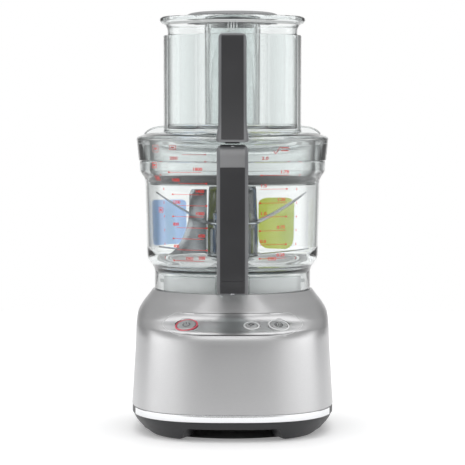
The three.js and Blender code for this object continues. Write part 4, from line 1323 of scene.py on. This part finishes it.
def build_lid_grip():
    back = -CHUTE_LOW.y + 0.6
    top = LID_GRIP_HIGH.z
    foot = LID_GRIP_LOW.z
    lip = LID_RADIUS + 1
    top_reach = back + 14
    foot_reach = -LID_GRIP_LOW.y
    half = (LID_GRIP_HIGH.x - LID_GRIP_LOW.x) / 2
    round_top = 4.5

    def face_at(z):
        drop = min(max((top - z) / (top - foot), 0), 1)
        return top_reach + (foot_reach - top_reach) * drop**2.2

    def half_at(z):
        return half + 1.7 * smooth_step((LID_TOP + 9 - z) / 16)

    stations = []
    for z in (foot, foot + 1.2, foot + 4, LID_TOP - 1.5):
        stations.append(((face_at(z), z), (lip, z), half_at(z) - (0.8 if z == foot else 0)))
    steps = 40
    for i in range(steps + 1):
        z = LID_TOP + 0.3 + (top - round_top - LID_TOP - 0.3) * i / steps
        stations.append(((face_at(z), z), (back, z), half_at(z)))
    for i in range(1, 9):
        turn = math.pi / 2 * i / 8
        z = top - round_top + round_top * math.sin(turn)
        inset = round_top * (1 - math.cos(turn))
        stations.append(((face_at(z) - inset * 0.6, z), (back, z), half - inset * 0.85))
    geometry = sweep_mesh(stations, grip_section(3.6))
    piece("lid_grip_frame", geometry, "lid", "grip_edge", ["lid_handle"], 50)

    strip = []
    for face, inside_face, _ in up_face(face_at, foot + 2.4, top - 4.6, half, 40):
        strip.append((face, inside_face, half_at(face[1])))
    tip = top - 4.6
    for i in range(1, 7):
        turn = math.pi / 2 * i / 6
        z = tip + 2.6 * math.sin(turn)
        strip.append(((face_at(z) - 0.8 * (1 - math.cos(turn)), z), (face_at(z) - 10, z), half))
    geometry = sweep_mesh(strip, strip_section(STRIP_WIDTH - 2, 3.6))
    piece("lid_grip_face", geometry, "lid", "grip_dark", ["lid_grip_cover"], 50)


def build_rod_spring():
    """The push rod's return spring, which on the real machine shortens as the rod goes down; here it
    is one fixed coil.
    """
    low, high = span("rod_spring")
    wire = 0.5
    turns = 8
    steps_per_turn = 24
    radius = (high.x - low.x) / 2 - wire
    middle_y = (low.y + high.y) / 2
    line = []
    for i in range(turns * steps_per_turn + 1):
        turn = TAU * i / steps_per_turn
        share = i / (turns * steps_per_turn)
        height = low.z + wire + (high.z - low.z - 2 * wire) * share
        line.append((radius * math.cos(turn), middle_y + radius * math.sin(turn), height))
    coil = piece("push_rod_spring", tube_mesh(line, wire), "bowl", "machined_steel", ["rod_spring"])
    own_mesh(coil)


# ------------------------------------------------------------------ lid and chute

CHUTE_HALF = CHUTE_HIGH.x
CHUTE_DEPTH = 45
CHUTE_POWER = 2.6
CHUTE_CENTRE = 2
LOBE_RADIUS = 45
LOBE_CENTRE = 13
CHUTE_WALL = 2.6
PLUG_RADIUS = 79.6


def chute_edge(angle, inset):
    """The chute's plan: a wide oval with a round lobe at the front, softly blended."""
    wide = oval(angle, CHUTE_HALF - inset, CHUTE_DEPTH - inset, CHUTE_POWER)
    forward = -math.sin(angle) * LOBE_CENTRE
    sideways = math.cos(angle) * LOBE_CENTRE
    lobe = forward + math.sqrt((LOBE_RADIUS - inset) ** 2 - sideways**2)
    blend = 1.1
    gap = abs(wide - lobe)
    lift = max(0, blend - gap) ** 2 / (4 * blend)
    return max(wide, lobe) + lift


def from_chute(angle, radius):
    """A circle about the drive axis, as seen from the chute's centre."""
    forward = -math.sin(angle)
    return -forward * CHUTE_CENTRE + math.sqrt(radius**2 - (CHUTE_CENTRE * math.cos(angle)) ** 2)


def build_lid():
    plug_inside = PLUG_RADIUS - 2.6
    groove = PLUG_RADIUS - 1.3
    groove_low = PLUG_BOTTOM + 0.9
    groove_high = PLUG_BOTTOM + 12
    skirt_inside = NECK_RADIUS + 1
    under = LID_TOP - 2.6
    skirt_outside = RIM_RADIUS + 0.8

    def profile(angle):
        def circle(radius):
            return from_chute(angle, radius)

        outer = chute_edge(angle, 0)
        inner = chute_edge(angle, CHUTE_WALL)
        return [
            (circle(skirt_outside), SKIRT_BOTTOM, 0.6),
            (circle(LID_RADIUS), LID_EDGE, 1.2),
            (circle(LID_RADIUS - 1.2), LID_EDGE + 1.6, 1.5),
            (circle(LID_RADIUS - 8), LID_TOP - 1.6, 4),
            (circle(LID_RADIUS - 17), LID_TOP, 4),
            (outer, LID_TOP, 2.2),
            (outer, CHUTE_TOP, 0.9),
            (inner, CHUTE_TOP, 0.9),
            (inner, under, 1.0),
            (circle(plug_inside), under, 2.0),
            (circle(plug_inside), PLUG_BOTTOM, 0.8),
            (circle(PLUG_RADIUS), PLUG_BOTTOM, 0.8),
            (circle(PLUG_RADIUS), groove_low, 0),
            (circle(groove), groove_low, 0),
            (circle(groove), groove_high, 0),
            (circle(PLUG_RADIUS), groove_high, 0),
            (circle(PLUG_RADIUS), LID_EDGE, 2),
            (circle(skirt_inside), LID_EDGE, 2),
            (circle(skirt_inside), SKIRT_BOTTOM, 0.6),
        ]

    geometry = ring_mesh(profile, steps=224, centre=CHUTE_CENTRE)
    piece("clear_lid", geometry, "lid", "clear_plastic", ["lid", "feed_chute"], 60)

    low, high = span("lid_seal")
    seal = lathe(
        [
            (PLUG_RADIUS - 1, low.z, 0.4),
            (high.x - 0.6, low.z, 0.5),
            (high.x, low.z + 2, 1),
            (high.x - 0.8, (low.z + high.z) / 2, 1),
            (high.x, high.z - 2, 1),
            (high.x - 0.6, high.z, 0.5),
            (PLUG_RADIUS - 1, high.z, 0.4),
        ],
        steps=160,
    )
    piece("silicone_seal", seal, "lid", "seal_silicone", ["lid_seal"], 50)

    # Thin webs that stiffen the foot of the chute, one at each side.
    for name, side in (("left", -1), ("right", 1)):
        root = CHUTE_HALF - 0.4
        crest = bezier((84, LID_TOP - 1.5), (79, LID_TOP + 5.2), (root, LID_TOP + 5.4), steps=12)
        outline = [(side * x, z) for x, z in crest + [(root, LID_TOP - 0.6)]]
        web = loft([[at(x, y, z) for x, z in outline] for y in (-1.1, 1.1)], capped=True)
        bead = tube_mesh([(side * x, 0, z) for x, z in crest], 0.75, 12)
        geometry = joined(web, bead)
        piece(f"lid_web_{name}", geometry, "lid", "clear_plastic", sharp=60)


# ------------------------------------------------------------------ pushers


def build_pushers():
    body_inset = CHUTE_WALL + 1.2
    wall = 2.4
    bottom = PUSHER_LOW.z
    tube_in = CUP_HIGH.x + 1.2
    tube_out = tube_in + 2.2
    reach = CHUTE_HALF - PUSHER_HIGH.x

    def profile(angle):
        def edge(inset):
            return chute_edge(angle, inset)

        return [
            (tube_in, bottom, 0.5),
            (edge(body_inset), bottom, 2.5),
            (edge(body_inset), CHUTE_TOP + 3, 3),
            (edge(body_inset - 0.6), CHUTE_TOP + 7.5, 3),
            (edge(1.5), CHUTE_TOP + 10.5, 2.5),
            (edge(reach + 2), FLANGE_TOP - 6.6, 2.5),
            (edge(reach), FLANGE_TOP - 4.4, 2.2),
            (edge(reach), FLANGE_TOP - 1.8, 2.2),
            (edge(reach + 3), FLANGE_TOP, 2.2),
            (edge(reach + 5), FLANGE_TOP - 1.4, 1.5),
            (edge(2.4), FLANGE_TOP - 2.6, 1.5),
            (edge(body_inset + 1.4), CHUTE_TOP + 8, 4),
            (edge(body_inset + wall), CHUTE_TOP - 4, 4),
            (edge(body_inset + wall), bottom + 3, 2.5),
            (tube_out, bottom + 3, 1.0),
            (tube_out, FLANGE_TOP - 2, 0.6),
            (tube_in, FLANGE_TOP - 2, 0.6),
        ]

    geometry = ring_mesh(profile, steps=224, centre=CHUTE_CENTRE)
    piece("clear_pusher", geometry, "large_pusher", "clear_plastic", ["large_pusher"], 60)

    front = CHUTE_CENTRE + LOBE_CENTRE + LOBE_RADIUS
    for name, x in (("left", -2.6), ("right", 2.6)):
        line = [(x, -front - 2.2, CHUTE_TOP + 0.4 + 0.9 * i) for i in range(13)]
        post = tube_mesh(line, 1.9, 24)
        piece(f"interlock_post_{name}", post, "large_pusher", "clear_plastic", bevel=0.4)

    radius = CUP_HIGH.x
    cup_inside = radius - 2.2
    cup_floor = CUP_LOW.z + 2.5
    cup = lathe(
        [
            (0, CUP_LOW.z, 0),
            (radius, CUP_LOW.z, 2.5),
            (radius, CUP_HIGH.z, 0.6),
            (cup_inside, CUP_HIGH.z, 0.6),
            (cup_inside, cup_floor, 2),
            (0, cup_floor, 0),
        ],
        closed=False,
        centre=CHUTE_CENTRE,
        steps=96,
    )
    piece("clear_small_pusher", cup, "small_pusher", "clear_plastic", ["small_pusher"], 60)

    base = FLANGE_TOP + 0.3
    rise = CAP_HIGH.z - base

    def dome(angle):
        points = [(0, base, 0)]
        steps = 9
        for i in range(steps):
            t = i / (steps - 1)
            share = math.cos(t * math.pi / 2) ** 0.55 if t < 1 else 0
            level = math.sin(t * math.pi / 2) ** 0.8
            radius_here = oval(angle, CAP_HIGH.x, (CAP_HIGH.y - CAP_LOW.y) / 2, 2.2)
            points.append((radius_here * share, base + rise * level, 0))
        return points

    cap = ring_mesh(dome, closed=False, centre=CHUTE_CENTRE, steps=96)
    spigot = lathe(
        [
            (0, CAP_LOW.z, 0),
            (radius - 2.5, CAP_LOW.z, 0.8),
            (radius - 2.5, base + 0.5, 0),
            (0, base + 0.5, 0),
        ],
        closed=False,
        centre=CHUTE_CENTRE,
        steps=64,
    )
    whole = joined(cap, spigot)
    piece("dark_cap", whole, "small_pusher", "grip_edge", ["small_pusher_cap"], material=PAD_GREY)


# ------------------------------------------------------------------ spindle and blades

HUB_RADIUS = HUB_HIGH.x
UPPER_PLATE = span("upper_blades")[0].z
LOWER_PLATE = span("lower_blades")[0].z
HUB_NECK = TUBE_RADIUS + 3.4
BLADE_THICK = 1.6


def build_hub():
    bore = TUBE_RADIUS + 1.2
    top = HUB_HIGH.z
    slots = []
    for plate in (UPPER_PLATE, LOWER_PLATE):
        slots += [
            (HUB_RADIUS, plate + BLADE_THICK + 0.3, 0.6),
            (HUB_NECK, plate + BLADE_THICK + 0.3, 0),
            (HUB_NECK, plate - 0.3, 0),
            (HUB_RADIUS, plate - 0.3, 0.6),
        ]
    hub = lathe(
        [
            (0, top, 0),
            (HUB_RADIUS - 1.6, top, 3),
            (HUB_RADIUS - 0.6, UPPER_PLATE + 7, 2),
            *slots,
            (HUB_RADIUS, HUB_LOW.z, 1),
            (bore, HUB_LOW.z, 0.5),
            (bore, TUBE_TOP + 2, 0.5),
            (TUBE_RADIUS - 0.7, TUBE_TOP + 3, 0),
            (TUBE_RADIUS - 0.7, TUBE_TOP + 18.3, 0),
            (8.3, TUBE_TOP + 20.3, 0),
            (8.3, top - 4.5, 0),
            (0, top - 4.5, 0),
        ],
        closed=False,
        steps=96,
    )
    piece("moulded_hub", hub, "drive", "smoke_plastic", ["blade_hub"], 40)
    shaft_bore, stem, collar, tip = 5.3, 9.8, 12.5, 8
    foot = FLOOR_UNDER + 1.5
    bore_top = TUBE_TOP + 12.3
    spindle = lathe(
        [
            (shaft_bore, foot, 0.3),
            (stem, foot, 0.5),
            (stem, TUBE_TOP + 1, 0),
            (collar, TUBE_TOP + 1, 0.5),
            (collar, TUBE_TOP + 18, 1),
            (tip, TUBE_TOP + 20, 0.5),
            (tip, top - 5, 1),
            (0.01, top - 5, 0),
            (0.01, bore_top, 0),
            (shaft_bore, bore_top, 0),
        ],
        steps=64,
    )
    piece("moulded_spindle", spindle, "drive", "smoke_plastic", ["spindle"], 40)


def blade_mesh(bottom, turn, sweep, chord, rise, tip):
    """A ring with two sickle wings, thick at the back and ground thin at the edge."""
    root = HUB_RADIUS + 0.6
    ring = lathe(
        [
            (HUB_NECK + 0.4, bottom, 0),
            (root + 1.6, bottom, 0.3),
            (root + 1.6, bottom + BLADE_THICK, 0.3),
            (HUB_NECK + 0.4, bottom + BLADE_THICK, 0),
        ],
        steps=72,
    )
    parts = [ring]
    out_steps, across_steps = 36, 8
    for half in (0, math.pi):
        rings = []
        for i in range(out_steps + 1):
            share = i / out_steps
            radius = root + (tip - root) * share
            width = chord * (1 - share**2.5) + 1.6
            middle = bottom + BLADE_THICK / 2 + rise * share**1.15
            wave = 0.5 * math.sin(share * 60) if 0.25 < share < 0.9 else 0.0
            upper = []
            lower = []
            for k in range(across_steps + 1):
                t = k / across_steps
                offset = width * t + wave * (1 - t) ** 3
                angle = half + turn + sweep * share**1.3 + offset / radius
                thick = BLADE_THICK * min(1, 0.12 + t * 2.6)
                x, y = radius * math.cos(angle), radius * math.sin(angle)
                upper.append(at(x, y, middle + thick / 2))
                lower.append(at(x, y, middle - thick / 2))
            rings.append(upper + lower[::-1])
        parts.append(loft(rings, capped=True))
    return joined(*parts)


def paddle_mesh(turn, low, high, near, far):
    """A steep wing from the hub: its free edge runs straight down, then sweeps out to a tip."""
    up_steps, out_steps = 30, 10
    reach = near + 17
    rings = []
    for i in range(up_steps + 1):
        share = i / up_steps
        height = low + (high - low) * share
        edge = reach + (far - reach) * (1 - share) ** 3.2
        edge -= 3 * max(0, (share - 0.9) / 0.1) ** 2
        sides = ([], [])
        for k in range(out_steps + 1):
            t = k / out_steps
            radius = near + (edge - near) * t
            angle = turn + 0.35 * (1 - share) * t
            thick = BLADE_THICK * min(1, 0.1 + (1 - t) * 5)
            along = Vector((math.cos(angle), math.sin(angle)))
            for line, side in zip(sides, (-0.5, 0.5)):
                spot = along * radius + Vector((-along.y, along.x)) * side * thick
                line.append(at(spot.x, spot.y, height))
        rings.append(sides[0] + sides[1][::-1])
    return loft(rings, capped=True)


def build_blades():
    tip = 74
    upper = blade_mesh(UPPER_PLATE, -0.12, 0.34, 19, 30, tip)
    lower = blade_mesh(LOWER_PLATE, 2.2, 0.7, 17, 8, tip)
    paddle = paddle_mesh(math.pi + 0.12, LOWER_PLATE + 0.8, HUB_HIGH.z - 2, HUB_RADIUS + 0.4, 68)
    piece("swept_blades", upper, "drive", "blade_steel", ["upper_blades"], 30, weld=False)
    lower_set = joined(lower, paddle)
    piece("floor_blades", lower_set, "drive", "blade_steel", ["lower_blades"], 30, weld=False)


# ------------------------------------------------------------------ studio


def area_light(name, place, target, size, power):
    data = bpy.data.lights.new(name, "AREA")
    data.shape = "RECTANGLE"
    data.size, data.size_y = size
    data.energy = power
    lamp = bpy.data.objects.new(name, data)
    lamp.location = place
    lamp.rotation_euler = (Vector(target) - Vector(place)).to_track_quat("-Z", "Y").to_euler()
    scene.collection.objects.link(lamp)


def ramp(tree, source, stops, low=-1.0, high=1.0):
    """A grey level that follows a number from low to high through (number, level) stops."""
    spread = add_node(tree, "MapRange", From_Min=low, From_Max=high)
    tree.links.new(source, spread.inputs["Value"])
    levels = add_node(tree, "ValToRGB")
    marks = levels.color_ramp.elements
    while len(marks) < len(stops):
        marks.new(0.5)
    for mark, (number, level) in zip(marks, stops):
        mark.position = (number - low) / (high - low)
        mark.color = (level, level, level, 1)
    tree.links.new(spread.outputs["Result"], levels.inputs["Fac"])
    return levels.outputs["Color"]


def build_tent():
    """A light tent: white behind, dark edges, bright sides and a grey front."""
    world = bpy.data.worlds.new("studio")
    scene.world = world
    world.use_nodes = True
    tree = world.node_tree
    coordinates = add_node(tree, "TexCoord")
    axes = add_node(tree, "SeparateXYZ")
    tree.links.new(coordinates.outputs["Generated"], axes.inputs["Vector"])
    around = ramp(
        tree,
        axes.outputs["Y"],
        (
            (-1.0, 0.24),
            (-0.88, 0.28),
            (-0.6, 0.66),
            (-0.1, 0.95),
            (0.34, 0.9),
            (0.48, 0.17),
            (0.9, 0.17),
            (0.95, 0.5),
        ),
    )
    overhead = ramp(
        tree, axes.outputs["Z"], ((0.3, 0.3), (0.6, 0.27), (0.84, 0.3), (1.0, 0.3)), 0.0, 1.0
    )
    share = ramp(tree, axes.outputs["Z"], ((0.22, 0.0), (0.42, 1.0)), 0.0, 1.0)
    blend = tree.nodes.new("ShaderNodeMix")
    blend.data_type = "RGBA"
    tree.links.new(share, blend.inputs["Factor"])
    tree.links.new(around, blend.inputs["A"])
    tree.links.new(overhead, blend.inputs["B"])
    tent = tree.nodes["Background"]
    tree.links.new(blend.outputs["Result"], tent.inputs["Color"])
    tent.inputs["Strength"].default_value = 2.0
    # Seen straight on, the space behind the object is plain white whichever way it faces.
    plain = add_node(tree, "Background", Color=(1, 1, 1, 1))
    path = add_node(tree, "LightPath")
    choose = add_node(tree, "MixShader")
    tree.links.new(path.outputs["Is Camera Ray"], choose.inputs["Fac"])
    tree.links.new(tent.outputs["Background"], choose.inputs[1])
    tree.links.new(plain.outputs["Background"], choose.inputs[2])
    tree.links.new(choose.outputs["Shader"], tree.nodes["World Output"].inputs["Surface"])


def stage_sheet(name, corners, color, other, roughness):
    """A flat sheet of floor, given by its corners in metres."""
    surface = Surface(name, color, roughness)
    surface.vary_color(surface.noise(3, detail=2), other)
    mesh = bpy.data.meshes.new(name)
    mesh.from_pydata(corners, [], [tuple(range(len(corners)))])
    mesh.materials.append(surface.material)
    sheet = bpy.data.objects.new(name, mesh)
    scene.collection.objects.link(sheet)
    return surface


def build_studio():
    half = 1.2
    front = -0.45
    level = -0.0004
    corners = [(-half, front, level), (half, front, level), (half, half, level), (-half, half, level)]
    floor = stage_sheet("studio_floor", corners, (0.9, 0.9, 0.905), (0.93, 0.93, 0.935), 0.6)
    floor.set(Emission_Color=(1, 1, 1, 1), Emission_Strength=0.24)
    # A dark sheet of floor under the base is a painted shadow: it stands in for the contact shadow,
    # which the floor's own glow would wash out.
    half_wide, half_deep, back = 86, 92, 4
    ring = arc_points(1, 0, 360, 96)[:-1]
    under = [at(half_wide * x, back + half_deep * y, -0.2) for x, y in ring]
    stage_sheet("painted_floor_shadow", under, (0.3, 0.3, 0.3), (0.4, 0.4, 0.4), 0.8)

    build_tent()
    middle = (0, AXIS_Y, 0.2)
    area_light("front_softbox", (0, -1.9, 1.7), middle, (2.4, 0.5), 8)
    area_light("top_softbox", (0, 0.2, 2.0), middle, (2.4, 2.4), 24)

    camera_data = bpy.data.cameras.new("camera")
    camera_data.sensor_width = 36
    camera_data.lens = 154.8
    camera = bpy.data.objects.new("camera", camera_data)
    distance = 1.92
    height = 0.287
    tilt = math.radians(3.02)
    camera.location = (0, AXIS_Y - distance, height)
    camera.rotation_euler = (math.pi / 2 - tilt, 0, 0)
    scene.collection.objects.link(camera)
    scene.camera = camera

    scene.view_settings.view_transform = "Standard"
    bounces = 24  # enough to see through every wall of the clear parts
    scene.cycles.max_bounces = bounces
    scene.cycles.transmission_bounces = bounces
    scene.cycles.transparent_max_bounces = bounces
    scene.cycles.caustics_refractive = True
    scene.cycles.caustics_reflective = False
    scene.cycles.use_denoising = True


finish_cad_nodes()
build_housing()
build_panel()
build_buttons()
build_foot()
build_seat()
build_bowl()
build_scale()
build_bowl_grip()
build_rod_spring()
build_lid()
build_lid_grip()
build_pushers()
build_hub()
build_blades()
build_studio()
